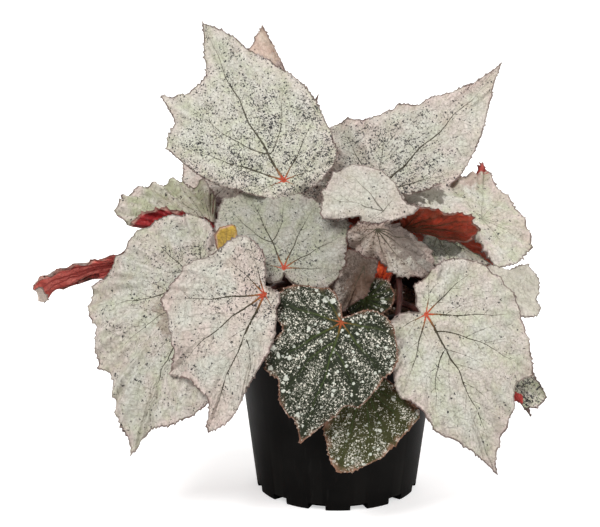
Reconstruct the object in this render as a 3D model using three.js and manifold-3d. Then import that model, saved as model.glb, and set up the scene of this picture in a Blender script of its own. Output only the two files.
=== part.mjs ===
// Potted rex begonia: a 15 cm nursery pot, its soil, a creeping rhizome and 28 leaves on their petioles.
// Millimetres, +Z up. The origin is the middle of the pot's underside; the plant's front faces -Y.

import * as THREE from "three";
import { mergeVertices } from "three/addons/utils/BufferGeometryUtils.js";
import Module from "manifold-3d";

const wasm = await Module();
wasm.setup();

// ---- Driving dimensions, mm and degrees ----

const CLEARANCE = 0.3; // air between pieces that touch

const POT_HEIGHT = 140;
const POT_FOOT_RADIUS = 55; // outside, where the pot stands
const POT_NECK_RADIUS = 71.7; // outside, under the lip
const POT_LIP_RADIUS = 75;
const POT_LIP_HEIGHT = 8;
const POT_WALL = 1.6;
const POT_FLOOR = 2;
const POT_EDGE = 0.8; // how far its edges are broken
const POT_SIDES = 36;

const NOTCH_COUNT = 12; // drain notches around the foot
const NOTCH_ANGLE = 12.5;
const NOTCH_HEIGHT = 4.5;
const NOTCH_DEPTH = 8;
const NOTCH_ROOF = NOTCH_HEIGHT + POT_WALL; // top of the pocket over a notch
const POCKET_ANGLE = NOTCH_ANGLE + 4;
const DRAIN_RADIUS = 2;
const DRAIN_SIDES = 6;

const SOIL_TOP = 127; // where the soil meets the pot's wall
const SOIL_CROWN = 2; // how much higher it is in the middle
const SOIL_GAP = 0.7; // air to the pot's faceted wall

const RHIZOME_RADIUS = 7;
const RHIZOME_HEIGHT = 130; // its centreline
const RHIZOME_SIDES = 8;
const RHIZOME_STEPS = 4;
const RHIZOME_ARMS = [
  // each arm creeps out from the crown; the crown is at the origin
  [[0, 0], [-18, -12], [-37, -18]],
  [[0, 0], [-2, -13], [-1, -27]],
  [[0, 0], [14, -15], [27, -31]],
  [[0, 0], [-15, 13], [-32, 24]],
  [[0, 0], [2, 13], [0, 26]],
  [[0, 0], [17, 9], [36, 16]],
];

const BLADE_THICKNESS = 1;
const BLADE_RINGS = [0.5, 1]; // where the blade's rings lie, from its stalk point out to its margin

const PETIOLE_RADIUS = 2.3;
const PETIOLE_SIDES = 6;
const PETIOLE_STEPS = 7;
const PETIOLE_TOP_GAP = 1.5; // its route ends this far under the middle of the blade
const USUAL_ARRIVAL = [0.4, 0.8, 0]; // how a petiole meets its blade: along the midrib, from below, sideways
const USUAL_LIFT = 0.4; // how far a petiole keeps its first direction, as a part of its length
const USUAL_RUN_IN = 0.35; // how far it keeps its last one

// ---- The leaves ----
// at: where the petiole meets the blade. tip: which way the midrib runs from there. face: which way the
// upper side looks. reach: [degrees from the midrib, mm out to the margin].
// bends: [direction, starts at mm, turns by degrees (+ towards the upper side), over mm].
// from: the petiole's foot over the rhizome, and rise: which way it grows there.
// arrival, lift and runIn: how the petiole's route differs from the usual one.

// The plant's back leaves share one broad outline, in several sizes.
const BROAD_OUTLINE = [[0, 78], [12, 63], [28, 60], [42, 64], [60, 49], [88, 42], [122, 35],
  [155, 24], [178, 7], [-160, 26], [-130, 36], [-96, 44], [-66, 50], [-48, 64], [-32, 59], [-14, 63]];
const broadReach = (size) => BROAD_OUTLINE.map(([angle, mm]) => [angle, mm * size]);

const LEAVES = {
  upper_left: {
    at: [-36, -22, 220],
    tip: [-0.42, 0.38, 0.8],
    face: [-0.15, -0.8, 0.6],
    reach: [[1, 128], [6, 103], [12, 87], [20, 87], [29, 101], [37, 82], [48, 82],
      [61, 56], [78, 30], [105, 18], [150, 12], [-170, 12], [-135, 17], [-110, 27], [-92, 37], [-74, 42],
      [-52, 53], [-31, 70], [-14, 87], [-5, 108]],
    bends: [[0, 30, -22, 110], [110, 40, 16, 60]],
    from: [-8, -2],
    rise: [-0.1, 0.1, 1],
  },
  upper_right: {
    at: [25.5, 25.6, 200.7],
    tip: [0.72, 0.3, 0.6],
    face: [-0.05, -0.75, 0.65],
    reach: [[5, 131], [8, 106], [17, 79], [26, 69], [34, 70], [43, 57], [56, 53], [68, 59], [79, 59],
      [92, 43], [111, 37], [128, 36], [144, 34], [158, 26], [170, 16], [-175, 8], [-150, 6], [-115, 16],
      [-75, 22], [-50, 36], [-37, 55], [-25, 68], [-11, 88], [-1, 108]],
    bends: [[0, 30, -20, 110]],
    from: [16, 9],
    rise: [0.1, 0.1, 1],
  },
  centre_top: {
    at: [29, -42, 204],
    tip: [-0.45, 0.62, 0.62],
    face: [-0.02, -0.5, 0.85],
    reach: [[-1, 43], [11, 44], [31, 42], [46, 41], [56, 40], [68, 38], [77, 35], [82, 27], [88, 17],
      [104, 13], [121, 10], [150, 8], [-178, 7], [-150, 9], [-132, 13], [-118, 19], [-108, 24], [-98, 16],
      [-64, 18], [-50, 22], [-39, 26], [-20, 34]],
    bends: [[156, 0.5, -45, 4], [0, 10, -30, 50]],
    from: [3, 2],
    rise: [0.3, -0.1, 1],
    arrival: [-0.1, 1, 0],
  },
  centre: {
    at: [-36, -62, 171],
    tip: [-0.42, 0.55, 0.6],
    face: [0.05, -0.72, 0.7],
    reach: [[-6, 66], [3, 62], [10, 66], [22, 56], [37, 48], [50, 22], [75, 16], [116, 14], [138, 10],
      [158, 4], [178, 11], [-154, 26], [-136, 33], [-114, 40], [-97, 43], [-87, 47], [-79, 55], [-60, 55],
      [-38, 56], [-22, 60]],
    bends: [[0, 30, -12, 80]],
    from: [-22, -14],
    rise: [-0.1, -0.3, 1],
  },
  front_left: {
    at: [-48, -84, 160],
    tip: [-0.35, -0.3, -0.9],
    face: [-0.15, -0.92, 0.42],
    reach: [[-4, 97], [5, 82], [10, 59], [34, 27], [60, 12], [110, 10], [140, 6], [-168, 5],
      [-158, 26], [-133, 41], [-113, 42], [-86, 58], [-69, 74], [-52, 66], [-41, 71],
      [-34, 86], [-22, 74], [-11, 74]],
    bends: [[0, 30, -14, 80], [-70, 18, -20, 30]],
    from: [-29, -16],
    rise: [-0.1, -0.5, 1],
  },
  left_large: {
    at: [-91, -48, 156],
    tip: [-0.45, -0.32, -0.83],
    face: [-0.33, -0.76, 0.58],
    reach: [[2, 121], [8, 98], [16, 93], [31, 81], [45, 66], [60, 40], [80, 22], [110, 8], [140, 5],
      [170, 22], [-157, 43], [-140, 50], [-110, 58], [-79, 66], [-62, 79], [-52, 82], [-43, 77],
      [-34, 84], [-28, 90], [-22, 84], [-5, 105]],
    bends: [[0, 30, -22, 110], [90, 30, -14, 50]],
    from: [-36, -18],
    rise: [-0.5, -0.2, 1],
  },
  front_dark: {
    at: [1, -90, 143],
    tip: [-0.22, -0.32, -0.92],
    face: [-0.03, -0.93, 0.36],
    reach: [[-6, 82], [0, 70], [8, 60], [16, 53], [24, 56], [36, 49], [50, 44], [60, 44],
      [80, 38], [100, 31], [120, 23], [145, 6], [180, 3], [-150, 21], [-132, 27], [-114, 38], [-95, 46],
      [-82, 42], [-72, 36], [-60, 46], [-46, 58], [-36, 54], [-25, 65], [-14, 68]],
    bends: [[0, 20, -12, 60], [90, 15, -18, 30], [-90, 15, -14, 30]],
    from: [-1, -27],
    rise: [-0.3, -0.3, 1],
    arrival: [0.4, 0.8, 0.4],
  },
  low_dark: {
    at: [17, -86, 100],
    tip: [-0.25, -0.25, -0.94],
    face: [0.05, -0.94, 0.34],
    reach: [[-3, 60], [10, 54], [26, 48], [39, 43], [56, 40], [78, 39], [90, 25], [110, 16],
      [140, 10], [180, 5], [-140, 5], [-102, 9], [-60, 14], [-43, 21], [-30, 38], [-18, 46], [-9, 55]],
    bends: [[0, 15, -10, 60]],
    from: [13, -14],
    rise: [0.17, -0.16, 0.87],
    arrival: [0.93, -0.13, -0.34],
    lift: 0.95,
    runIn: 1.05,
  },
  right_large: {
    at: [56, -72, 143],
    tip: [0.4, -0.3, -0.86],
    face: [0.2, -0.86, 0.48],
    reach: [[1, 113], [6, 96], [18, 84], [31, 75], [39, 83], [50, 71], [70, 66], [91, 57],
      [112, 49], [135, 38], [160, 22], [178, 20], [-165, 12], [-128, 4], [-110, 20], [-78, 30], [-61, 38],
      [-45, 54], [-32, 58], [-20, 75], [-12, 82], [-4, 94]],
    bends: [[0, 40, -22, 110], [90, 30, -16, 50], [-90, 30, -10, 50]],
    from: [27, -31],
    rise: [0.3, -0.4, 1],
  },
  centre_folded: {
    at: [24, -50, 194],
    tip: [0.3, -0.45, -0.8],
    face: [0.12, -0.72, 0.7],
    reach: [[7, 33], [9, 35], [16, 36], [23, 40], [39, 47], [61, 51], [77, 54], [84, 53], [88, 49],
      [92, 38], [96, 24], [100, 10], [140, 4], [-160, 4], [-139, 8], [-113, 16], [-94, 20], [-78, 23],
      [-64, 21], [-48, 20], [-30, 19], [-16, 20], [-4, 24]],
    bends: [[107, 1, -50, 8], [-73, 1, -46, 8]],
    from: [5, -5],
    rise: [0.3, -0.1, 1],
  },
  inner_hanging: {
    at: [16, -63, 173],
    tip: [-0.3, -0.35, -0.88],
    face: [0.1, -0.86, 0.5],
    reach: [[-8, 33], [3, 24], [12, 21], [24, 19], [32, 14], [54, 10], [88, 8], [123, 9], [180, 5],
      [-149, 7], [-117, 14], [-75, 12], [-50, 18], [-35, 24], [-20, 28]],
    bends: [[0, 10, -14, 40]],
    from: [-2, -18],
    rise: [0.1, -0.3, 1],
  },
  inner_dark: {
    at: [17, -62, 150],
    tip: [0.35, 0.2, 0.9],
    face: [0.1, -0.8, 0.55],
    reach: [[-2, 15], [30, 14], [67, 15], [112, 15], [150, 13], [-145, 11], [-106, 14], [-89, 16],
      [-73, 18], [-55, 19], [-32, 18]],
    bends: [[0, 10, -14, 40]],
    from: [9, -9],
    rise: [0, -0.4, 1],
  },
  right_turned: {
    at: [43.4, -19.3, 187],
    tip: [0.96, -0.08, -0.1],
    face: [0.05, 0.8, 0.62],
    reach: [[-6, 50], [1, 46], [8, 44], [13, 38], [17, 24], [24, 10], [60, 4], [100, 8], [140, 18],
      [165, 30], [-178, 37], [-168, 38], [-150, 31], [-129, 22], [-105, 15], [-89, 18], [-75, 25],
      [-62, 26], [-49, 28], [-40, 32], [-33, 38], [-26, 48], [-18, 47]],
    bends: [[0, 20, 10, 60]],
    from: [9, 5],
    rise: [0.3, -0.3, 1],
    arrival: [0.7, 0.6, 0],
  },
  right_mid: {
    at: [96.7, -0.3, 188],
    tip: [0.82, -0.3, -0.35],
    face: [0.22, -0.52, 0.82],
    reach: [[0, 38], [17, 32], [41, 29], [60, 28], [83, 31], [95, 33], [103, 38], [112, 54], [122, 42],
      [138, 38], [155, 34], [170, 34], [-177, 38], [-165, 54], [-156, 46], [-149, 22], [-140, 6],
      [-113, 3], [-93, 10], [-79, 15], [-65, 20], [-57, 32], [-48, 40], [-35, 41], [-19, 39]],
    bends: [[0, 10, -14, 60]],
    from: [29, 12],
    rise: [0.4, -0.1, 1],
  },
  right_inner: {
    at: [66.6, -2.3, 176.5],
    tip: [0.85, -0.35, -0.42],
    face: [0.05, -0.55, 0.83],
    reach: [[7, 41], [12, 22], [20, 12], [50, 8], [89, 7], [133, 8], [166, 8], [-150, 8],
      [-106, 14], [-84, 22], [-71, 26], [-47, 24], [-20, 30]],
    bends: [[0, 10, -14, 40]],
    from: [25, 11],
    rise: [0.3, -0.3, 1],
  },
  right_back: {
    at: [111, 22, 136],
    tip: [0.85, 0.35, -0.25],
    face: [0.1, -0.62, 0.76],
    reach: [[13, 37], [25, 35], [38, 37], [50, 20], [80, 15], [117, 14], [150, 11], [-150, 4],
      [-125, 18], [-97, 21], [-67, 24], [-50, 30], [-33, 35], [-10, 31]],
    bends: [[0, 10, -10, 60]],
    from: [36, 16],
    rise: [0.3, 0, 1],
    lift: 0.6,
  },
  right_low: {
    at: [93, -42, 113],
    tip: [0.72, -0.35, -0.55],
    face: [0.25, -0.7, 0.62],
    reach: [[4, 57], [8, 49], [14, 40], [25, 30], [49, 20], [102, 17], [142, 16], [-173, 13], [-150, 3],
      [-114, 14], [-78, 22], [-49, 30], [-30, 37], [-20, 43], [-16, 47], [-14, 59], [-11, 54], [-5, 56]],
    bends: [[0, 50, -50, 20], [-60, 30, -60, 14]],
    from: [22, -25],
    rise: [0.4, -0.1, 1],
    arrival: [1, -0.4, 0],
    lift: 0.75,
    runIn: 0.8,
  },
  left_upper: {
    at: [-84.8, 2, 180.1],
    tip: [-0.98, 0.05, 0.2],
    face: [0.05, -0.55, 0.83],
    reach: [[-90, 12], [-86, 22], [-81, 32], [-77, 40], [-71, 43], [-64, 40], [-57, 40], [-52, 45],
      [-45, 48], [-37, 49], [-29, 56], [-24, 57], [-19, 62], [-14, 66], [-10, 67], [-3, 65], [4, 63],
      [9, 58], [13, 50], [17, 46], [24, 38], [36, 28], [56, 18], [90, 10], [140, 6], [-160, 4],
      [-110, 6]],
    bends: [[0, 20, -12, 70]],
    from: [-22, 18],
    rise: [-0.5, -0.2, 1],
  },
  far_left: {
    at: [-122, 14, 152],
    tip: [-0.97, -0.1, -0.06],
    face: [-0.08, 0.8, 0.6],
    reach: [[0, 46], [1, 70], [2, 84], [8, 93], [13, 98], [15, 86], [16, 70], [18, 50], [24, 38],
      [36, 28], [62, 22], [96, 20], [143, 11], [-155, 4], [-114, 14], [-88, 18], [-49, 20], [-28, 24],
      [-11, 32]],
    bends: [[0, 20, -45, 70]],
    from: [-28, 21],
    rise: [-0.5, -0.1, 1],
  },
  back_left: {
    at: [-68, 44, 206],
    tip: [-0.75, 0.2, -0.1],
    face: [-0.2, -0.6, 0.78],
    reach: [[-27, 49], [-11, 42], [12, 39], [31, 43], [46, 48], [62, 46], [76, 43], [88, 26], [116, 22],
      [135, 6], [170, 14], [-146, 25], [-97, 34], [-67, 47], [-44, 53]],
    bends: [[0, 10, -16, 60]],
    from: [-14, 12],
    rise: [-0.3, 0.3, 1],
  },
  back_top: {
    at: [-25, 46, 233],
    tip: [-0.25, 0.35, 0.9],
    face: [0.02, -0.8, 0.6],
    reach: [[3, 87], [8, 78], [14, 72], [22, 67], [36, 51], [49, 48], [61, 31], [96, 21], [139, 16],
      [175, 4], [-149, 14], [-117, 16], [-80, 16], [-49, 20], [-39, 26], [-36, 35], [-32, 26], [-24, 29],
      [-21, 38], [-17, 31], [-12, 33], [-6, 38], [-1, 54]],
    bends: [[0, 20, -16, 80]],
    from: [1.5, 10],
    rise: [0, 0.3, 1],
  },
  young_red: {
    at: [27, -51.5, 158],
    tip: [-0.25, 0.1, 0.95],
    face: [0.1, 0.8, 0.55],
    reach: [[-4, 17], [32, 14], [62, 15], [75, 8], [115, 5], [180, 3], [-115, 3], [-52, 5], [-21, 10]],
    bends: [[0, 4, 14, 20]],
    from: [18, -20],
    rise: [0, -0.3, 1],
    arrival: [1, -0.2, 0],
  },
  old_yellow: {
    at: [-73, -62, 184],
    tip: [-0.1, 0.5, 0.86],
    face: [0, -0.85, 0.5],
    reach: [[-40, 12], [-29, 16], [-18, 16], [-3, 15], [14, 14], [33, 11], [53, 8], [100, 5], [180, 4],
      [-100, 5], [-60, 8]],
    bends: [[0, 4, -12, 20]],
    from: [-15, -8],
    rise: [-0.4, -0.1, 1],
  },
  back_low_left: {
    at: [-66, 66, 162],
    tip: [-0.55, 0.4, -0.74],
    face: [-0.35, 0.7, 0.62],
    reach: broadReach(0.85),
    bends: [[0, 30, -20, 80]],
    from: [-32, 24],
    rise: [-0.2, 0.4, 1],
  },
  back_low_centre: {
    at: [2, 84, 152],
    tip: [0.1, 0.3, -0.95],
    face: [0.02, 0.88, 0.45],
    reach: broadReach(0.95),
    bends: [[0, 30, -16, 80]],
    from: [0, 26],
    rise: [0, 0.5, 1],
  },
  back_low_right: {
    at: [66, 58, 156],
    tip: [0.5, 0.35, -0.8],
    face: [0.35, 0.75, 0.55],
    reach: broadReach(0.85),
    bends: [[0, 30, -20, 80]],
    from: [31, 14],
    rise: [0.2, 0.4, 1],
  },
  back_mid_left: {
    at: [-34, 66, 194],
    tip: [-0.35, 0.85, 0.1],
    face: [-0.1, 0.2, 0.95],
    reach: broadReach(0.62),
    bends: [[0, 10, -30, 60]],
    from: [1, 19],
    rise: [-0.1, 0.4, 1],
  },
  back_mid_right: {
    at: [36, 60, 186],
    tip: [0.45, 0.8, 0],
    face: [0.1, 0.2, 0.97],
    reach: broadReach(0.68),
    bends: [[0, 10, -30, 60]],
    from: [20, 10],
    rise: [0.1, 0.4, 1],
  },
};

// ---- Shared shape helpers ----

const vector = (xyz) => new THREE.Vector3(...xyz);

const weld = (geometry) => {
  geometry.deleteAttribute("normal");
  geometry.deleteAttribute("uv");
  return mergeVertices(geometry, 1e-4);
};

const toSolid = (geometry) => {
  const welded = weld(geometry);
  const vertProperties = Float32Array.from(welded.attributes.position.array);
  const triVerts = Uint32Array.from(welded.index.array);
  const solid = new wasm.Manifold(new wasm.Mesh({ numProp: 3, vertProperties, triVerts }));
  if (solid.volume() > 0) return solid;
  const flipped = Uint32Array.from(triVerts).reverse();
  return new wasm.Manifold(new wasm.Mesh({ numProp: 3, vertProperties, triVerts: flipped }));
};

const toGeometry = (solid) => {
  const { vertProperties, triVerts } = solid.getMesh();
  const geometry = new THREE.BufferGeometry();
  geometry.setAttribute("position", new THREE.BufferAttribute(vertProperties, 3));
  geometry.setIndex(new THREE.BufferAttribute(triVerts, 1));
  return geometry;
};

const group = new THREE.Group();

const addPiece = (name, solid, material) => {
  const mesh = new THREE.Mesh(toGeometry(solid), material);
  mesh.name = name;
  group.add(mesh);
};

// A closed solid of revolution around +Z from a profile of [radius, height].
const turned = (profile, sides) => {
  const lathe = new THREE.LatheGeometry(profile.map(([r, z]) => new THREE.Vector2(r, z)), sides);
  return toSolid(lathe.rotateX(Math.PI / 2));
};

// A closed round bar along a curve.
const bar = (curve, radius, sides, steps) => {
  const corners = new THREE.EllipseCurve(0, 0, radius, radius).getPoints(sides).slice(0, sides);
  const section = new THREE.Shape(corners);
  return toSolid(new THREE.ExtrudeGeometry(section, { steps, extrudePath: curve, bevelEnabled: false }));
};

// ---- Materials ----

const finish = (color, roughness) => new THREE.MeshStandardMaterial({ color, roughness, metalness: 0 });
const potPlastic = finish("#191715", 0.45);
const pottingSoil = finish("#2b1f17", 0.95);
const rhizomeBark = finish("#6b4a38", 0.8);
const petioleSkin = finish("#7d4436", 0.6);
const silverBlade = finish("#b4b3a4", 0.5);
const darkBlade = finish("#4b5444", 0.5);
const DARK_LEAVES = ["front_dark", "low_dark", "inner_dark"];

// ---- Pot ----

const wallRadius = (z) => {
  const rise = Math.min(z / (POT_HEIGHT - POT_LIP_HEIGHT), 1);
  return THREE.MathUtils.lerp(POT_FOOT_RADIUS, POT_NECK_RADIUS, rise);
};

// A block that spans one notch's angle, between two radii and two heights.
const wedge = (inner, outer, angle, bottom, top) => {
  const half = THREE.MathUtils.degToRad(angle / 2);
  const outline = new THREE.Shape();
  outline.absarc(0, 0, outer, -half, half, false);
  outline.absarc(0, 0, inner, half, -half, true);
  const block = new THREE.ExtrudeGeometry(outline, {
    depth: top - bottom,
    bevelEnabled: false,
    curveSegments: 2,
  });
  return toSolid(block.translate(0, 0, bottom));
};

const POT_NECK_HEIGHT = POT_HEIGHT - POT_LIP_HEIGHT;

const makeShell = () => {
  const inside = wallRadius(POT_NECK_HEIGHT) - POT_WALL;
  const outline = [
    [0, 0],
    [POT_FOOT_RADIUS - POT_EDGE, 0],
    [wallRadius(POT_EDGE), POT_EDGE],
    [wallRadius(POT_NECK_HEIGHT), POT_NECK_HEIGHT],
    [POT_LIP_RADIUS - POT_EDGE, POT_NECK_HEIGHT],
    [POT_LIP_RADIUS, POT_NECK_HEIGHT + POT_EDGE],
    [POT_LIP_RADIUS, POT_HEIGHT - POT_EDGE],
    [POT_LIP_RADIUS - POT_EDGE, POT_HEIGHT],
    [inside + POT_EDGE, POT_HEIGHT],
    [inside, POT_NECK_HEIGHT],
    [wallRadius(POT_FLOOR) - POT_WALL, POT_FLOOR],
    [0, POT_FLOOR],
  ];
  return turned(outline, POT_SIDES);
};

// Each notch is a pocket in the foot with a roof, a back and two sides, and a drain hole in its roof.
const makePot = () => {
  const back = POT_FOOT_RADIUS - NOTCH_DEPTH;
  const outside = POT_FOOT_RADIUS + NOTCH_DEPTH;
  const midWall = POT_FOOT_RADIUS - POT_WALL / 2;
  const pocket = wedge(back - POT_WALL, midWall, POCKET_ANGLE, POT_FLOOR / 2, NOTCH_ROOF);
  const notch = wedge(back, outside, NOTCH_ANGLE, -POT_FLOOR, NOTCH_HEIGHT);
  const drain = toSolid(
    new THREE.CylinderGeometry(DRAIN_RADIUS, DRAIN_RADIUS, NOTCH_ROOF, DRAIN_SIDES)
      .rotateX(Math.PI / 2)
      .translate(POT_FOOT_RADIUS - NOTCH_DEPTH * 0.6, 0, NOTCH_ROOF),
  );
  let pot = makeShell();
  for (let i = 0; i < NOTCH_COUNT; i += 1) {
    const turn = [0, 0, ((i + 0.5) * 360) / NOTCH_COUNT];
    pot = pot.add(pocket.rotate(turn)).subtract(notch.rotate(turn)).subtract(drain.rotate(turn));
  }
  return pot;
};

// ---- Rhizome and soil ----

const makeRhizome = (radius) => {
  let rhizome = null;
  for (const arm of RHIZOME_ARMS) {
    const route = new THREE.CatmullRomCurve3(arm.map(([x, y]) => new THREE.Vector3(x, y, RHIZOME_HEIGHT)));
    const end = route.getPoint(1);
    const bud = new THREE.SphereGeometry(radius, RHIZOME_SIDES, RHIZOME_SIDES / 2);
    const stem = bar(route, radius, RHIZOME_SIDES, RHIZOME_STEPS);
    const piece = stem.add(toSolid(bud.translate(end.x, end.y, end.z)));
    rhizome = rhizome ? rhizome.add(piece) : piece;
  }
  return rhizome;
};

// The soil stands on the floor inside the pockets, and on their roofs.
const makeSoil = () => {
  const bottom = POT_FLOOR + CLEARANCE;
  const shelf = NOTCH_ROOF + CLEARANCE;
  const core = POT_FOOT_RADIUS - NOTCH_DEPTH - POT_WALL - SOIL_GAP;
  const outer = (z) => wallRadius(z) - POT_WALL - SOIL_GAP;
  const heap = turned(
    [
      [0, bottom],
      [core, bottom],
      [core, shelf],
      [outer(shelf), shelf],
      [outer(SOIL_TOP), SOIL_TOP],
      [outer(SOIL_TOP) / 2, SOIL_TOP + SOIL_CROWN * 0.8],
      [0, SOIL_TOP + SOIL_CROWN],
    ],
    POT_SIDES,
  );
  return heap.subtract(makeRhizome(RHIZOME_RADIUS + CLEARANCE));
};

// ---- Leaves ----

// The blade's frame: X along the midrib, Z out of the upper side, at the stalk point.
const leafFrame = ({ at, tip, face }) => {
  const x = vector(tip).normalize();
  const z = vector(face);
  z.addScaledVector(x, -z.dot(x)).normalize();
  const y = z.clone().cross(x);
  return new THREE.Matrix4().makeBasis(x, y, z).setPosition(vector(at));
};

// Rolls the part of a blade that lies beyond a line around a cylinder.
const bendPoint = (place, [direction, start, turn, length]) => {
  const a = THREE.MathUtils.degToRad(direction);
  const along = place.x * Math.cos(a) + place.y * Math.sin(a) - start;
  if (along <= 0) return;
  const across = place.y * Math.cos(a) - place.x * Math.sin(a);
  const total = THREE.MathUtils.degToRad(turn);
  const angle = (total * Math.min(along, length)) / length;
  const radius = length / total;
  const beyond = Math.max(along - length, 0);
  const rolled = radius * Math.sin(angle) + beyond * Math.cos(angle) - place.z * Math.sin(angle) + start;
  const lift = radius * (1 - Math.cos(angle)) + beyond * Math.sin(angle) + place.z * Math.cos(angle);
  place.set(rolled * Math.cos(a) - across * Math.sin(a), rolled * Math.sin(a) + across * Math.cos(a), lift);
};

// A thin disc whose rings are drawn out to the leaf's reach, then bent and put in place.
const blade = (leaf, thickness) => {
  const margin = leaf.reach.map(([angle, mm]) => {
    const a = THREE.MathUtils.degToRad(angle);
    return new THREE.Vector2(mm * Math.cos(a), mm * Math.sin(a));
  });
  const half = thickness / 2;
  const under = [0, ...BLADE_RINGS].map((ring) => new THREE.Vector2(ring, -half));
  const over = [0, ...BLADE_RINGS].reverse().map((ring) => new THREE.Vector2(ring, half));
  const disc = new THREE.LatheGeometry([...under, ...over], margin.length);
  const frame = leafFrame(leaf);
  const place = new THREE.Vector3();
  const { position } = disc.attributes;
  for (let i = 0; i < position.count; i += 1) {
    const ring = Math.hypot(position.getX(i), position.getZ(i));
    const turn = Math.atan2(position.getX(i), position.getZ(i)) / (2 * Math.PI);
    const { x, y } = margin[(Math.round(turn * margin.length) + margin.length) % margin.length];
    place.set(x * ring, y * ring, position.getY(i));
    for (const bend of leaf.bends) bendPoint(place, bend);
    place.applyMatrix4(frame);
    position.setXYZ(i, place.x, place.y, place.z);
  }
  return toSolid(disc);
};

const petioleRoute = (leaf) => {
  const foot = vector([...leaf.from, RHIZOME_HEIGHT]);
  const rise = vector(leaf.rise).normalize();
  const frame = leafFrame(leaf);
  const [alongTip, fromBelow, sideways] = leaf.arrival ?? USUAL_ARRIVAL;
  const arrival = new THREE.Vector3(alongTip, sideways, fromBelow).transformDirection(frame);
  const top = new THREE.Vector3(0, 0, -PETIOLE_TOP_GAP).applyMatrix4(frame);
  const length = foot.distanceTo(top);
  return new THREE.CubicBezierCurve3(
    foot,
    foot.clone().addScaledVector(rise, length * (leaf.lift ?? USUAL_LIFT)),
    top.clone().addScaledVector(arrival, -length * (leaf.runIn ?? USUAL_RUN_IN)),
    top,
  );
};

// The petiole's ends are cut to the rhizome and to the blade.
const makePetiole = (leaf) =>
  bar(petioleRoute(leaf), PETIOLE_RADIUS, PETIOLE_SIDES, PETIOLE_STEPS)
    .subtract(makeRhizome(RHIZOME_RADIUS + CLEARANCE))
    .subtract(blade(leaf, BLADE_THICKNESS + 2 * CLEARANCE));

// ---- Assembly ----

addPiece("pot", makePot(), potPlastic);
addPiece("soil", makeSoil(), pottingSoil);
addPiece("rhizome", makeRhizome(RHIZOME_RADIUS), rhizomeBark);
for (const [name, leaf] of Object.entries(LEAVES)) {
  const dark = DARK_LEAVES.includes(name);
  addPiece(`leaf_${name}`, blade(leaf, BLADE_THICKNESS), dark ? darkBlade : silverBlade);
  addPiece(`petiole_${name}`, makePetiole(leaf), petioleSkin);
}

export default group;
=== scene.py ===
# Potted rex begonia: a pot, its soil, a rhizome and 28 leaves on hairy stalks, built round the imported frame.

import math
from dataclasses import dataclass

import bpy
import numpy as np
from bpy.props import FloatProperty, FloatVectorProperty, IntProperty, PointerProperty
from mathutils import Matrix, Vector


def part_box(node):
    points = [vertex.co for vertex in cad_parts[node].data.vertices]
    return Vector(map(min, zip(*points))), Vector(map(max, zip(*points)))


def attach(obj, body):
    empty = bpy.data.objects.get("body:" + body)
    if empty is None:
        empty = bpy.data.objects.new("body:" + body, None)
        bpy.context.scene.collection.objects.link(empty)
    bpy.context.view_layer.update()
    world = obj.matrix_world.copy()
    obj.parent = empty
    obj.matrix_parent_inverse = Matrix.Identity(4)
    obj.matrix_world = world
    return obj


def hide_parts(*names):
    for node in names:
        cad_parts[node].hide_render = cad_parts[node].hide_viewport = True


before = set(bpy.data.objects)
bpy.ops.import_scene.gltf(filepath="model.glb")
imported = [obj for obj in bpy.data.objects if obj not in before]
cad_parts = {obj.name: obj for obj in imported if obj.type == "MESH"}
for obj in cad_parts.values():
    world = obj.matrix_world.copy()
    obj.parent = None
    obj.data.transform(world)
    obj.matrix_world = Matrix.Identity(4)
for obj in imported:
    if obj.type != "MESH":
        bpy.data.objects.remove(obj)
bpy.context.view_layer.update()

bl_info = {
    "name": "Potted rex begonia",
    "version": (1, 0, 0),
    "blender": (4, 5, 0),
    "location": "3D View > Sidebar > Begonia",
    "description": "Builds a rex begonia in its nursery pot, leaf by leaf",
    "category": "Add Mesh",
}

MM = 0.001  # all shapes are worked out in millimetres and made in metres
TURN = 2 * np.pi
RHIZOME_HEIGHT = 130  # mm, its centreline

# ---- The plant's plan, as in the frame: millimetres and degrees ----


@dataclass
class Leaf:
    """One leaf: where its blade is held and how it is cut and bent, and how its petiole gets there."""

    at: tuple  # the stalk point, where the petiole meets the blade
    tip: tuple  # the way the blade points
    face: tuple  # the way its upper side faces
    reach: tuple  # (angle from the tip's direction, mm from the stalk point) round the margin
    tips: tuple  # the angles at which the margin has a sharp point
    bends: tuple  # (direction, starts at mm, turns by degrees, over mm)
    foot: tuple  # where on the rhizome the petiole starts
    rise: tuple  # the way it sets off
    arrival: tuple = (0.4, 0.8, 0)  # the way it comes in: along the tip, up from below, sideways
    lift: float = 0.4  # how far its first way draws its curve, as a part of its straight length
    run_in: float = 0.35  # how far its last way does
    # its main veins where they are seen: degrees from the tip's direction, the midrib first, or (degrees,
    # mm along the midrib) for a vein that forks off it
    veins: tuple = ()
    ruffle: float = 0.0  # times the usual height of the pleats; at 0 its size sets them
    teeth: float = 1.0  # times the usual height of the teeth
    puff: float = 1.0  # times the usual rise of the skin between veins


BROAD_REACH = (
    (0, 78), (12, 63), (28, 60), (42, 64), (60, 49), (88, 42), (122, 35), (155, 24), (178, 7),
    (-160, 26), (-130, 36), (-96, 44), (-66, 50), (-48, 64), (-32, 59), (-14, 63),
)


def hidden_leaf(at, tip, face, size, bend, foot, rise):
    """A leaf at the back: the broad blade, made smaller, with one bend towards its tip."""
    reach = tuple((angle, mm * size) for angle, mm in BROAD_REACH)
    return Leaf(at, tip, face, reach, (0, 42, -48), (bend,), foot, rise)


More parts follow.
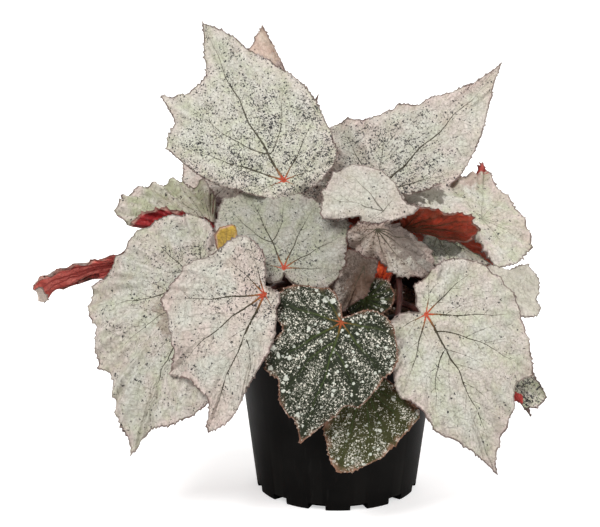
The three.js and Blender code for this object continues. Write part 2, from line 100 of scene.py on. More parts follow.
LEAVES = {
    "upper_left": Leaf(
        at=(-36, -22, 220), tip=(-0.42, 0.38, 0.8), face=(-0.15, -0.8, 0.6),
        reach=(
            (1, 128), (6, 103), (12, 87), (20, 87), (29, 101), (37, 82), (48, 82), (61, 56), (78, 30),
            (105, 18), (150, 12), (-170, 12), (-135, 17), (-110, 27), (-92, 37), (-74, 42), (-52, 53),
            (-31, 70), (-14, 87), (-5, 108),
        ),
        tips=(1, 29, 48), bends=((0, 30, -22, 110), (110, 40, 16, 60)), foot=(-8, -2), rise=(-0.1, 0.1, 1),
        veins=(1, (-24, 20), (25, 20), -50, 46, 88, -98, -140),
    ),
    "upper_right": Leaf(
        at=(25.5, 25.6, 200.7), tip=(0.72, 0.3, 0.6), face=(-0.05, -0.75, 0.65),
        reach=(
            (5, 131), (8, 106), (17, 79), (26, 69), (34, 70), (43, 57), (56, 53), (68, 59), (79, 59),
            (92, 43), (111, 37), (126, 44), (135, 51), (143, 50), (156, 38), (170, 16), (-175, 8), (-150, 6),
            (-115, 16), (-75, 22), (-50, 36), (-37, 55), (-25, 68), (-11, 88), (-1, 108),
        ),
        tips=(5, 34, 79), bends=((0, 30, -20, 110),), foot=(16, 9), rise=(0.1, 0.1, 1),
        veins=(4, (33, 8), 72, -29, -62, 118),
    ),
    "centre_top": Leaf(
        at=(29, -42, 204), tip=(-0.45, 0.62, 0.62), face=(-0.02, -0.5, 0.85),
        reach=(
            (-1, 43), (11, 44), (31, 42), (46, 41), (56, 40), (64, 40), (70, 41), (75, 37), (78, 17),
            (83, 15), (88, 17), (95, 16), (104, 13), (121, 10), (150, 8), (-178, 7), (-150, 9), (-132, 13),
            (-118, 19), (-108, 24), (-98, 16), (-64, 18), (-50, 22), (-39, 26), (-20, 34),
        ),
        tips=(75, 88, -108), bends=((156, 0.5, -45, 4), (0, 10, -30, 50)), foot=(3, 2), rise=(0.3, -0.1, 1),
        arrival=(-0.1, 1, 0), veins=(8, 48, -62, 100), ruffle=1.2, teeth=1.5,
    ),
    "centre": Leaf(
        at=(-36, -62, 171), tip=(-0.42, 0.55, 0.6), face=(0.05, -0.72, 0.7),
        reach=(
            (-6, 66), (3, 62), (10, 66), (22, 56), (37, 48), (50, 22), (75, 16), (116, 14), (138, 10),
            (158, 4), (178, 11), (-154, 26), (-136, 33), (-114, 40), (-97, 43), (-87, 47), (-79, 55),
            (-60, 55), (-38, 56), (-22, 60),
        ),
        tips=(-6, 10, 50, -79), bends=((0, 30, -12, 80),), foot=(-22, -14), rise=(-0.1, -0.3, 1),
        veins=(-5, (-28, 21), (12, 21), -50, -84, -118, 50),
    ),
    "front_left": Leaf(
        at=(-48, -84, 160), tip=(-0.35, -0.3, -0.9), face=(-0.15, -0.92, 0.42),
        reach=(
            (-4, 97), (5, 82), (10, 59), (34, 27), (60, 12), (110, 10), (140, 6), (-168, 5), (-158, 26),
            (-133, 41), (-113, 42), (-86, 58), (-69, 74), (-52, 66), (-41, 71), (-34, 86), (-22, 74),
            (-11, 74),
        ),
        tips=(-4, -69, -34), bends=((0, 30, -14, 80), (-70, 18, -20, 30)), foot=(-29, -16),
        rise=(-0.1, -0.5, 1), veins=(-4, (10, 30), -33, -69, -112, -145, 50), ruffle=1.4,
    ),
    "left_large": Leaf(
        at=(-91, -48, 156), tip=(-0.45, -0.32, -0.83), face=(-0.33, -0.76, 0.58),
        reach=(
            (2, 121), (8, 98), (16, 93), (31, 81), (45, 66), (60, 40), (80, 22), (110, 8), (140, 5),
            (170, 22), (-157, 43), (-140, 50), (-110, 58), (-79, 66), (-62, 79), (-52, 82), (-43, 77),
            (-34, 84), (-28, 90), (-22, 84), (-5, 105),
        ),
        tips=(2, -52, -28), bends=((0, 30, -22, 110), (90, 30, -14, 50)), foot=(-36, -18),
        rise=(-0.5, -0.2, 1), veins=(3, (-27, 14), -55, -106, -148, 42, 62), ruffle=1.9, puff=1.6,
    ),
    "front_dark": Leaf(
        at=(1, -90, 143), tip=(-0.22, -0.32, -0.92), face=(-0.03, -0.93, 0.36),
        reach=(
            (-6, 82), (0, 70), (8, 60), (16, 53), (24, 56), (36, 49), (50, 44), (60, 44), (80, 38),
            (100, 31), (120, 23), (145, 6), (180, 3), (-150, 21), (-132, 27), (-114, 38), (-95, 46),
            (-82, 42), (-72, 36), (-60, 46), (-46, 58), (-36, 54), (-25, 65), (-14, 68),
        ),
        tips=(-6, 24, -46, -25), bends=((0, 20, -12, 60), (90, 15, -18, 30), (-90, 15, -14, 30)),
        foot=(-1, -27), rise=(-0.3, -0.3, 1), arrival=(0.4, 0.8, 0.4),
        veins=(-7, (24, 18), 52, (-26, 14), -47, -96, 92, -135),
    ),
    "low_dark": Leaf(
        at=(17, -86, 100), tip=(-0.25, -0.25, -0.94), face=(0.05, -0.94, 0.34),
        reach=(
            (-3, 60), (10, 54), (26, 48), (39, 43), (56, 40), (78, 39), (90, 25), (110, 16), (140, 10),
            (180, 5), (-140, 5), (-102, 9), (-60, 14), (-43, 21), (-30, 38), (-18, 46), (-9, 55),
        ),
        tips=(-3, 78, -30), bends=((0, 15, -10, 60),), foot=(13, -14), rise=(0.17, -0.16, 0.87),
        arrival=(0.93, -0.13, -0.34), lift=0.95, run_in=1.05,
    ),
    "right_large": Leaf(
        at=(56, -72, 143), tip=(0.4, -0.3, -0.86), face=(0.2, -0.86, 0.48),
        reach=(
            (1, 113), (6, 96), (18, 84), (31, 75), (39, 83), (50, 71), (70, 66), (91, 57), (112, 49),
            (135, 38), (160, 22), (178, 20), (-165, 12), (-128, 4), (-110, 20), (-78, 30), (-61, 38),
            (-45, 54), (-32, 58), (-20, 75), (-12, 82), (-4, 94),
        ),
        tips=(1, 39, -20), bends=((0, 40, -22, 110), (90, 30, -16, 50), (-90, 30, -10, 50)), foot=(27, -31),
        rise=(0.3, -0.4, 1), veins=(3, (39, 13), (-19, 26), -41, -84, 68, 108, 150), ruffle=1.25,
    ),
    "centre_folded": Leaf(
        at=(24, -50, 194), tip=(0.3, -0.45, -0.8), face=(0.12, -0.72, 0.7),
        reach=(
            (7, 33), (9, 35), (16, 36), (23, 40), (39, 47), (61, 51), (77, 54), (84, 53), (88, 49), (92, 38),
            (96, 24), (100, 10), (140, 4), (-160, 4), (-139, 8), (-113, 16), (-94, 20), (-78, 23), (-64, 21),
            (-48, 20), (-30, 19), (-16, 20), (-4, 24),
        ),
        tips=(9, 39, 84, -78), bends=((107, 1, -50, 8), (-73, 1, -46, 8)), foot=(5, -5), rise=(0.3, -0.1, 1),
        veins=(20, 36, 60, 78, -2, -30, -76, -110), ruffle=2.4, teeth=1.9, puff=2.0,
    ),
    "inner_hanging": Leaf(
        at=(16, -63, 173), tip=(-0.3, -0.35, -0.88), face=(0.1, -0.86, 0.5),
        reach=(
            (-8, 33), (3, 24), (12, 21), (24, 19), (32, 14), (54, 10), (88, 8), (123, 9), (180, 5),
            (-149, 7), (-117, 14), (-75, 12), (-50, 18), (-35, 24), (-20, 28),
        ),
        tips=(-8, 24), bends=((0, 10, -14, 40),), foot=(-2, -18), rise=(0.1, -0.3, 1), ruffle=1.8, teeth=1.6,
        puff=2.0,
    ),
    "inner_dark": Leaf(
        at=(17, -62, 150), tip=(0.35, 0.2, 0.9), face=(0.1, -0.8, 0.55),
        reach=(
            (-2, 15), (30, 14), (67, 15), (112, 15), (150, 13), (-145, 11), (-106, 14), (-89, 16), (-73, 18),
            (-55, 19), (-32, 18),
        ),
        tips=(-2,), bends=((0, 10, -14, 40),), foot=(9, -9), rise=(0, -0.4, 1),
    ),
    "right_turned": Leaf(
        at=(43.4, -19.3, 187), tip=(0.96, -0.08, -0.1), face=(0.05, 0.8, 0.62),
        reach=(
            (-6, 50), (1, 46), (8, 44), (13, 38), (17, 24), (24, 10), (60, 4), (100, 8), (140, 18),
            (165, 30), (-178, 37), (-168, 38), (-150, 31), (-129, 22), (-105, 15), (-89, 18), (-75, 25),
            (-62, 26), (-49, 28), (-40, 32), (-33, 38), (-26, 48), (-18, 47),
        ),
        tips=(-26, -49, 8), bends=((0, 20, 10, 60),), foot=(9, 5), rise=(0.3, -0.3, 1),
        arrival=(0.7, 0.6, 0), veins=(-6, 8, 18, -22, -38, -62, -110, -150, -172, 160), teeth=1.5,
    ),
    "right_mid": Leaf(
        at=(96.7, -0.3, 188), tip=(0.82, -0.3, -0.35), face=(0.22, -0.52, 0.82),
        reach=(
            (0, 38), (17, 32), (41, 29), (60, 28), (83, 31), (95, 33), (103, 38), (113, 55), (122, 42),
            (138, 38), (155, 38), (170, 39), (-177, 43), (-165, 54), (-156, 46), (-149, 26), (-140, 13),
            (-113, 10), (-93, 13), (-79, 19), (-65, 28), (-57, 38), (-48, 43), (-35, 43), (-19, 39),
        ),
        tips=(0, 113, -165), bends=((0, 10, -14, 60),), foot=(29, 12), rise=(0.4, -0.1, 1),
        veins=(0, 28, 58, 85, 112, -30, 150), ruffle=1.5, teeth=2.0, puff=1.3,
    ),
    "right_inner": Leaf(
        at=(66.6, -2.3, 176.5), tip=(0.85, -0.35, -0.42), face=(0.05, -0.55, 0.83),
        reach=(
            (7, 41), (12, 22), (20, 12), (50, 8), (89, 7), (133, 8), (166, 8), (-150, 8), (-106, 14),
            (-84, 22), (-71, 26), (-47, 24), (-20, 30),
        ),
        tips=(7, -71), bends=((0, 10, -14, 40),), foot=(25, 11), rise=(0.3, -0.3, 1),
    ),
    "right_back": Leaf(
        at=(111, 22, 136), tip=(0.85, 0.35, -0.25), face=(0.1, -0.62, 0.76),
        reach=(
            (13, 37), (25, 35), (38, 37), (50, 20), (80, 15), (117, 14), (150, 11), (-150, 4), (-125, 18),
            (-97, 21), (-67, 24), (-50, 30), (-33, 35), (-10, 31),
        ),
        tips=(13, 38, -33), bends=((0, 10, -10, 60),), foot=(36, 16), rise=(0.3, 0, 1), lift=0.6,
    ),
    "right_low": Leaf(
        at=(93, -42, 113), tip=(0.72, -0.35, -0.55), face=(0.25, -0.7, 0.62),
        reach=(
            (4, 57), (8, 49), (14, 40), (25, 30), (49, 20), (102, 17), (142, 16), (-173, 13), (-150, 3),
            (-114, 14), (-78, 22), (-49, 30), (-30, 37), (-20, 43), (-16, 47), (-14, 59), (-11, 54),
            (-5, 56),
        ),
        tips=(4, -14), bends=((-100, 14, 130, 3), (0, 50, -50, 20), (-60, 30, -60, 14)), foot=(22, -25),
        rise=(0.4, -0.1, 1), arrival=(1, -0.4, 0), lift=0.75, run_in=0.8,
    ),
    "left_upper": Leaf(
        at=(-84.8, 2, 180.1), tip=(-0.98, 0.05, 0.2), face=(0.05, -0.55, 0.83),
        reach=(
            (-90, 12), (-86, 22), (-81, 32), (-77, 40), (-71, 43), (-64, 40), (-57, 40), (-52, 45),
            (-45, 48), (-37, 49), (-29, 56), (-24, 57), (-19, 62), (-14, 66), (-10, 67), (-3, 65), (4, 63),
            (9, 58), (12, 54), (17, 54), (24, 48), (36, 36), (56, 18), (90, 10), (140, 6), (-160, 4),
            (-110, 6),
        ),
        tips=(-10, -71, 17), bends=((100, 0.5, 115, 4), (0, 20, -12, 70)), foot=(-22, 18),
        rise=(-0.5, -0.2, 1), veins=(-12, 2, 14, -26, -40, -54, -68, -82, 40), ruffle=2.6, teeth=1.3,
        puff=2.4,
    ),
    "far_left": Leaf(
        at=(-122, 14, 152), tip=(-0.97, -0.1, -0.06), face=(-0.08, 0.8, 0.6),
        reach=(
            (0, 46), (1, 72), (2, 93), (6, 98), (11, 103), (15, 106), (16, 88), (17, 66), (18, 50), (24, 38),
            (36, 28), (62, 22), (96, 20), (143, 11), (-155, 4), (-114, 14), (-88, 18), (-49, 20), (-28, 24),
            (-11, 32),
        ),
        tips=(2, 15), bends=((-18, 79, -125, 7), (0, 20, -45, 70)), foot=(-28, 21), rise=(-0.5, -0.1, 1),
        veins=(7, 12, 16, 21, 30, 3, 0, -7, -20, 60),
    ),
    "back_left": Leaf(
        at=(-68, 44, 206), tip=(-0.75, 0.2, -0.1), face=(-0.2, -0.6, 0.78),
        reach=(
            (-27, 49), (-11, 42), (12, 39), (31, 43), (46, 48), (62, 46), (76, 43), (88, 26), (116, 22),
            (135, 6), (170, 14), (-146, 25), (-97, 34), (-67, 47), (-44, 53),
        ),
        tips=(-27, 46), bends=((0, 10, -16, 60),), foot=(-14, 12), rise=(-0.3, 0.3, 1),
    ),
    "back_top": Leaf(
        at=(-25, 46, 233), tip=(-0.25, 0.35, 0.9), face=(0.02, -0.8, 0.6),
        reach=(
            (3, 87), (8, 78), (14, 72), (22, 67), (36, 51), (49, 48), (61, 31), (96, 21), (139, 16),
            (175, 4), (-149, 14), (-117, 16), (-80, 16), (-49, 20), (-39, 26), (-36, 35), (-32, 26),
            (-24, 29), (-21, 38), (-17, 31), (-12, 33), (-6, 38), (-1, 54),
        ),
        tips=(3, 22, 49, -36, -21), bends=((0, 20, -16, 80),), foot=(1.5, 10), rise=(0, 0.3, 1),
    ),
    "young_red": Leaf(
        at=(27, -51.5, 158), tip=(-0.25, 0.1, 0.95), face=(0.1, 0.8, 0.55),
        reach=(
            (-4, 17), (32, 14), (62, 15), (75, 8), (115, 5), (180, 3), (-115, 3), (-52, 5), (-21, 10),
        ),
        tips=(-4, 62), bends=((0, 4, 14, 20),), foot=(18, -20), rise=(0, -0.3, 1), arrival=(1, -0.2, 0),
    ),
    "old_yellow": Leaf(
        at=(-73, -62, 184), tip=(-0.1, 0.5, 0.86), face=(0, -0.85, 0.5),
        reach=(
            (-40, 12), (-29, 16), (-18, 16), (-3, 15), (14, 14), (33, 11), (53, 8), (100, 5), (180, 4),
            (-100, 5), (-60, 8),
        ),
        tips=(-29,), bends=((0, 4, -12, 20),), foot=(-15, -8), rise=(-0.4, -0.1, 1),
    ),
    "back_low_left": hidden_leaf(
        (-66, 66, 162), (-0.55, 0.4, -0.74), (-0.35, 0.7, 0.62), 0.85, (0, 30, -20, 80), (-32, 24),
        (-0.2, 0.4, 1),
    ),
    "back_low_centre": hidden_leaf(
        (2, 84, 152), (0.1, 0.3, -0.95), (0.02, 0.88, 0.45), 0.95, (0, 30, -16, 80), (0, 26), (0, 0.5, 1),
    ),
    "back_low_right": hidden_leaf(
        (66, 58, 156), (0.5, 0.35, -0.8), (0.35, 0.75, 0.55), 0.85, (0, 30, -20, 80), (31, 14),
        (0.2, 0.4, 1),
    ),
    "back_mid_left": hidden_leaf(
        (-34, 66, 194), (-0.35, 0.85, 0.1), (-0.1, 0.2, 0.95), 0.62, (0, 10, -30, 60), (1, 19),
        (-0.1, 0.4, 1),
    ),
    "back_mid_right": hidden_leaf(
        (36, 60, 186), (0.45, 0.8, 0), (0.1, 0.2, 0.97), 0.68, (0, 10, -30, 60), (20, 10), (0.1, 0.4, 1),
    ),
}

# ---- Meshes from points ----


class Shell:
    """Collects the points and faces of one piece, with layers of one value or vector a point."""

    def __init__(self, points=None, faces=()):
        self.points, self.faces, self.slots, self.layers = [], [], [], {}
        self.count = 0
        if points is not None:
            self.add(points, faces)

    def add(self, points, faces, slot=0, **layers):
        start = self.count
        self.points.append(points)
        self.count += len(points)
        self.faces += [tuple(start + corner for corner in face) for face in faces]
        self.slots += [slot] * len(faces)
        for name, values in layers.items():
            self.layers.setdefault(name, []).append(np.asarray(values, np.float32))

    def piece(self, name, *materials):
        """The mesh object, at the origin, in metres."""
        mesh = bpy.data.meshes.new(name)
        mesh.from_pydata((np.concatenate(self.points) * MM).tolist(), [], self.faces)
        for material in materials:
            mesh.materials.append(material)
        mesh.polygons.foreach_set("material_index", self.slots)
        mesh.polygons.foreach_set("use_smooth", [True] * len(self.faces))
        for layer, parts in self.layers.items():
            values = np.concatenate(parts)
            kind, field = ("FLOAT_VECTOR", "vector") if values.ndim == 2 else ("FLOAT", "value")
            mesh.attributes.new(layer, kind, "POINT").data.foreach_set(field, values.ravel())
        mesh.update()
        return show(name, mesh)


def show(name, data):
    """Puts a mesh, light or camera in the scene."""
    thing = bpy.data.objects.new(name, data)
    bpy.context.scene.collection.objects.link(thing)
    return thing


def claim(piece, slot, *nodes):
    """Ties a finished piece to the frame: it rides on the one body and stands for the nodes."""
    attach(piece, "root")
    if nodes:
        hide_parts(*nodes)


def grid_faces(rows, columns):
    """Quads of a grid of rows by columns, whose columns run round."""
    faces = []
    for row in range(rows - 1):
        for column in range(columns):
            after = (column + 1) % columns
            low, high = row * columns, (row + 1) * columns
            faces.append((low + column, low + after, high + after, high + column))
    return faces


def unit(vectors):
    return vectors / np.maximum(np.linalg.norm(vectors, axis=-1, keepdims=True), 1e-9)


def running(points):
    """How far along a line each of its points lies."""
    return np.append(0, np.linalg.norm(np.diff(points, axis=0), axis=1).cumsum())


def circle(sides):
    return np.linspace(0, TURN, sides, endpoint=False)


def capped(rings, first, last):
    """Points and faces of a closed skin over rings of points, with one more point at either end."""
    sides = len(rings[0])
    points = np.concatenate([*rings, [first, last]])
    low, high, top = len(points) - 2, len(points) - 1, (len(rings) - 1) * sides
    faces = grid_faces(len(rings), sides)
    faces += [(low, (i + 1) % sides, i) for i in range(sides)]
    faces += [(high, top + i, top + (i + 1) % sides) for i in range(sides)]
    return points, faces


def tube(route, radii, sides, skin_radius, number):
    """A closed round tube along a route: points, faces, the skin layer, and each point's way out.

    The skin layer holds mm round a tube of the skin's radius, mm along it, and the tube's own number.
    """
    along = unit(np.gradient(route, axis=0))
    side = unit(np.cross(along[0], (0.31, 0.17, 0.93)))
    turn = circle(sides)
    rings = []
    for place, way, radius in zip(route, along, radii):
        side = unit(side - way * (side @ way))
        other = np.cross(way, side)
        rings.append(place + radius * (np.outer(np.cos(turn), side) + np.outer(np.sin(turn), other)))
    points, faces = capped(rings, route[0], route[-1])
    middle = np.concatenate([np.repeat(route, sides, axis=0), route[:1], route[-1:]])
    run = running(route)
    around = np.append(np.tile(turn / TURN, len(route)), (0, 0))
    along = np.append(np.repeat(run, sides), (0, run[-1]))
    skin = np.column_stack([around * TURN * skin_radius, along, np.full(len(along), number)])
    return points, faces, skin, points - middle


def turned(profile, sides):
    """A closed solid of revolution round +Z, from a profile of (radius, height) that ends on the axis."""
    turn = circle(sides)
    rings = [
        np.stack([r * np.cos(turn), r * np.sin(turn), np.full(sides, z)], axis=1)
        for r, z in profile[1:-1]
    ]
    return capped(rings, (0, 0, profile[0][1]), (0, 0, profile[-1][1]))


def ripple(places, chance, wavelength, waves=9):
    """A smooth random field between about -1 and 1, from plane waves in random directions."""
    total = np.zeros(len(places))
    for _ in range(waves):
        way = unit(chance.normal(size=places.shape[1]))
        length = wavelength * chance.uniform(0.7, 1.5)
        total += np.sin(places @ way * (TURN / length) + chance.uniform(0, TURN))
    return total / math.sqrt(waves)


def nearest(places, others, chunk=1500):
    """The distance from each place to the nearest of the others."""
    places, others = np.asarray(places, np.float32), np.asarray(others, np.float32)
    far = np.empty(len(places), np.float32)
    own = (others**2).sum(axis=1)
    for start in range(0, len(places), chunk):
        part = places[start : start + chunk]
        squares = (part**2).sum(axis=1)[:, None] + own - 2 * part @ others.T
        far[start : start + chunk] = squares.min(axis=1)
    return np.sqrt(np.maximum(far, 0))


def eased(value, start, end):
    """0 at the start and 1 at the end, smooth between; the start may be the larger."""
    part = np.clip((np.asarray(value, float) - start) / (end - start), 0, 1)
    return part * part * (3 - 2 * part)


# ---- The leaf blade ----

TIP_STEEPNESS = 1.35  # how much steeper than a straight flank the margin runs into a sharp point
RING_SPACING = 3.4  # mm between the grid's rings on the longest reach
INNER_RINGS = (0.008, 0.02, 0.04)
OUTER_RINGS = (0.985, 1.0)
TOOTH_RISE = (0.1, 0.45, 1.0)  # over the three points of a tooth
LOBE_SPACING = (5.0, 13.0)  # mm along the margin between its small lobes
LOBE_HEIGHT = (0.9, 3.6)  # mm
LOBE_SHARPNESS = 1.7
VEIN_END = 0.965  # part of the reach at which a main vein ends
SIDE_VEIN_END = 0.95
FORK_BOW, LOOSE_BOW, ZIGZAG = 0.075, 0.025, 0.006  # how far main veins stray, as parts of their length
KINK_LENGTH = 28  # mm
FORK_WIDTH = 0.75  # part of a main vein's width
WIDEST_GAP = 40  # degrees between main veins before another one grows
SINUS_PART = 0.2  # a reach under this part of the longest has no main vein of its own
VEIN_STEP = 1.8  # mm between a vein's points
NODE_SPACING = 6.2  # mm between the side veins along a main one
SUNK = 0.12  # mm that a vein's strip is sunk in the blade
LEAF_APART = 37.0  # mm between two leaves in the patterns, so that no two show the same part
# The skin's random lumps: mm high, mm long, waves, and mm from the stalk point where they are full
LUMPS = ((0.75, 15, 9, 14), (0.3, 7, 12, 10))
MARGIN_THICKNESS = 0.45  # part of the blade's thickness that its margin has
KNOB = (1.5, 2.4)  # mm deep and wide, where the petiole runs into the underside
# How a vein leaves another: degrees between, degrees it turns back at each step, its longest mm, the mm
# kept from other veins, and the mm from its start before that holds
SIDE_VEIN = ((36, 48), 1.5, 70, 2.7, 5.5)
FINE_VEIN = ((40, 62), 4, 13, 1.6, 3.0)


def spoke(angle):
    """The flat direction at an angle in radians."""
    return np.array([math.cos(angle), math.sin(angle)])


def leaf_frame(leaf):
    """The blade's axes as rows: along the tip, across, and out of the upper side."""
    x = unit(np.array(leaf.tip, float))
    z = np.array(leaf.face, float)
    z = unit(z - x * (z @ x))
    return np.stack([x, np.cross(z, x), z])


def bent(points, direction, start, turn, length):
    """Rolls the part of a blade that lies beyond a line round a cylinder."""
    c, s = spoke(math.radians(direction))
    x, y, z = points.T
    along, across = x * c + y * s - start, y * c - x * s
    total = math.radians(turn)
    angle = total * np.clip(along, 0, length) / length
    radius, beyond = length / total, np.maximum(along - length, 0)
    rolled = radius * np.sin(angle) + beyond * np.cos(angle) - z * np.sin(angle) + start
    lift = radius * (1 - np.cos(angle)) + beyond * np.sin(angle) + z * np.cos(angle)
    moved = np.stack([rolled * c - across * s, rolled * s + across * c, lift], axis=1)
    return np.where((along > 0)[:, None], moved, points)


def placed(leaf, points):
    """Takes points of the flat blade to where the bent blade holds them in the pot's space."""
    for bend in leaf.bends:
        points = bent(points, *bend)
    return points @ leaf_frame(leaf) + np.array(leaf.at, float)


def smooth_reach(reach, tips):
    """The margin's angles (radians, rising) and reaches, smooth between its points and sharp at its tips."""
    turns = np.unwrap(np.radians([angle for angle, _ in reach]))
    mm = np.array([length for _, length in reach], float)
    sharp = np.array([angle in tips for angle, _ in reach])
    gaps = np.diff(np.append(turns, turns[0] + TURN))
    leaving = np.diff(np.append(mm, mm[0])) / gaps
    coming = np.roll(leaving, 1)
    product, total = coming * leaving, coming + leaving
    shared = np.where(product > 0, 2 * product / np.where(product > 0, total, 1), 0)
    end_slope = np.where(sharp, coming * TIP_STEEPNESS, shared)
    start_slope = np.where(sharp, leaving * TIP_STEEPNESS, shared)
    t = np.linspace(0, 1, 40, endpoint=False)
    angles, lengths = [], []
    for i, gap in enumerate(gaps):
        after = (i + 1) % len(mm)
        angles.append(turns[i] + gap * t)
        lengths.append(
            mm[i] * (2 * t**3 - 3 * t**2 + 1)
            + gap * start_slope[i] * (t**3 - 2 * t**2 + t)
            + mm[after] * (3 * t**2 - 2 * t**3)
            + gap * end_slope[after] * (t**3 - t**2)
        )
    return np.append(np.concatenate(angles), turns[0] + TURN), np.append(np.concatenate(lengths), mm[0])


class Blade:
    """One leaf blade: its margin, its veins, and the grid of points that carries them."""

    def __init__(self, leaf, sizes, seed):
        self.leaf, self.sizes, self.seed = leaf, sizes, seed
        self.chance = np.random.default_rng(seed)
        self.angles, self.lengths = smooth_reach(leaf.reach, leaf.tips)
        self.longest = self.lengths.max()
        self.lay_margin()
        self.veins = []  # (points, half widths, ink, rank: 0 main, 1 side, 2 fine)
        self.grow_main_veins()
        self.grow_side_veins()
        self.lay_grid()

    def from_start(self, angle):
        """Radians from the margin's first angle, within one turn."""
        return (angle - self.angles[0]) % TURN

    def reach_at(self, angle):
        return np.interp(self.from_start(angle) + self.angles[0], self.angles, self.lengths)

    def lay_margin(self):
        """Spaces points evenly along the margin, three to a tooth."""
        spokes = np.stack([np.cos(self.angles), np.sin(self.angles)], axis=1)
        run = running(spokes * self.lengths[:, None])
        teeth = max(18, round(run[-1] * MM / self.sizes.tooth_spacing))
        count = 3 * teeth
        self.run = np.arange(count) * run[-1] / count
        turns = self.turns = np.interp(self.run, run, self.angles)
        for tip in self.leaf.tips:
            tip = self.from_start(math.radians(tip)) + self.angles[0]
            turns[np.abs(turns - tip).argmin()] = tip
        reach = np.interp(turns, self.angles, self.lengths)
        reach += self.lobes(run[-1]) * reach / (reach + 25)
        self.margin = np.stack([np.cos(turns), np.sin(turns)], axis=1) * reach[:, None]
        ways = unit(np.roll(self.margin, -1, axis=0) - np.roll(self.margin, 1, axis=0))
        self.outward = np.stack([ways[:, 1], -ways[:, 0]], axis=1)
        # a tooth leans towards the blade's tip, so its steep side comes first on the left half
        leftwards = (turns % TURN) < np.pi
        rise = np.where(leftwards[:, None], TOOTH_RISE[::-1], TOOTH_RISE)
        rise = rise[np.arange(count), np.arange(count) % 3]
        size = np.repeat(0.1 + 1.7 * self.chance.uniform(0, 1, teeth) ** 2, 3)
        height = self.leaf.teeth * self.sizes.tooth_height / MM
        self.tooth = height * rise * size * reach / (reach + 10)
        self.tooth_tips = np.flatnonzero(rise == 1.0)

    def lobes(self, total):
        """Small pointed lobes of uneven size, as mm beyond the smooth outline; none right at a sharp tip."""
        ends = [0.0]
        while total - ends[-1] > LOBE_SPACING[1]:
            ends.append(ends[-1] + self.chance.uniform(*LOBE_SPACING))
        ends = np.array([*ends, total])
        sizes = self.chance.uniform(*LOBE_HEIGHT, len(ends))
        sizes[-1] = sizes[0]
        after = np.clip(np.searchsorted(ends, self.run, side="right"), 1, len(ends) - 1)
        share = (self.run - ends[after - 1]) / (ends[after] - ends[after - 1])
        rise = sizes[after - 1] * (1 - share) ** LOBE_SHARPNESS + sizes[after] * share**LOBE_SHARPNESS - 0.6
        tips = [self.from_start(math.radians(tip)) / TURN for tip in self.leaf.tips]
        place = (self.turns - self.angles[0]) / TURN
        near = np.min([np.abs((place - tip + 0.5) % 1 - 0.5) for tip in tips], axis=0)
        return rise * eased(near, 0.004, 0.016)

    # -- veins --

    def main_angles(self):
        """Degrees of the main veins: the listed ones, or to the tips and between them where it is wide."""
        if self.leaf.veins:
            return self.leaf.veins
        found, tried = sorted(self.leaf.tips), set()
        while True:
            pairs = zip(found, [*found[1:], found[0] + 360])
            wide = [(b - a, (a + b) / 2) for a, b in pairs if b - a > WIDEST_GAP]
            wide = [(gap, middle) for gap, middle in wide if middle % 360 not in tried]
            if not wide:
                return found
            _, middle = max(wide)
            tried.add(middle % 360)
            if self.reach_at(math.radians(middle)) > SINUS_PART * self.longest:
                found = sorted([*found, (middle + 180) % 360 - 180])

    def grow_main_veins(self):
        width = self.sizes.vein_width / MM * min(1.0, 0.45 + self.longest / 200)
        listed = self.main_angles()
        midrib = listed[0]
        for vein in listed:
            degrees, fork = vein if isinstance(vein, tuple) else (vein, 0)
            angle = math.radians(degrees)
            end = VEIN_END * self.reach_at(angle) * spoke(angle)
            start = fork * spoke(math.radians(midrib))
            length = np.linalg.norm(end - start)
            t = np.linspace(0, 1, max(4, round(length / VEIN_STEP)))
            way = (end - start) / length
            side = np.array([-way[1], way[0]])
            if fork:  # it leaves the midrib at a wide angle and turns towards the tip
                bow = FORK_BOW * length * math.copysign(1, degrees - midrib) * np.sin(np.pi * t**0.7)
            else:
                bow = LOOSE_BOW * length * self.chance.uniform(-1, 1) * np.sin(np.pi * t)
            kinks = 2.5 + length / KINK_LENGTH
            zigzag = ZIGZAG * length * np.arcsin(np.sin(TURN * kinks / 2 * t)) * np.sin(np.pi * t)
            points = start + np.outer(t * length, way) + np.outer(bow + zigzag, side)
            share = length / self.longest
            halves = width * (0.45 + 0.55 * share) * (0.14 + 0.86 * (1 - t) ** 1.2) / 2
            if fork:
                halves *= FORK_WIDTH
            ink = 1 - eased(t, 0.35 + 0.3 * share, 1.0) * 0.7
            self.veins.append((points, halves, ink, 0))

    def branch(self, parent, at, side, habit):
        """A vein that leaves another at one of its points, and ends near the margin or another vein."""
        spread, turning, limit, room, free = habit
        way = parent[at + 1] - parent[at]
        heading = math.atan2(way[1], way[0]) + side * math.radians(self.chance.uniform(*spread))
        others = np.concatenate([points for points, _, _, _ in self.veins])
        place = parent[at]
        points = [place]
        while (len(points) - 1) * VEIN_STEP < limit:
            place = place + VEIN_STEP * spoke(heading)
            heading += -side * math.radians(turning)
            if np.linalg.norm(place) > SIDE_VEIN_END * self.reach_at(math.atan2(place[1], place[0])):
                break
            if len(points) * VEIN_STEP > free and np.linalg.norm(others - place, axis=1).min() < room:
                break
            points.append(place)
        return np.array(points), np.linspace(0, 1, len(points))

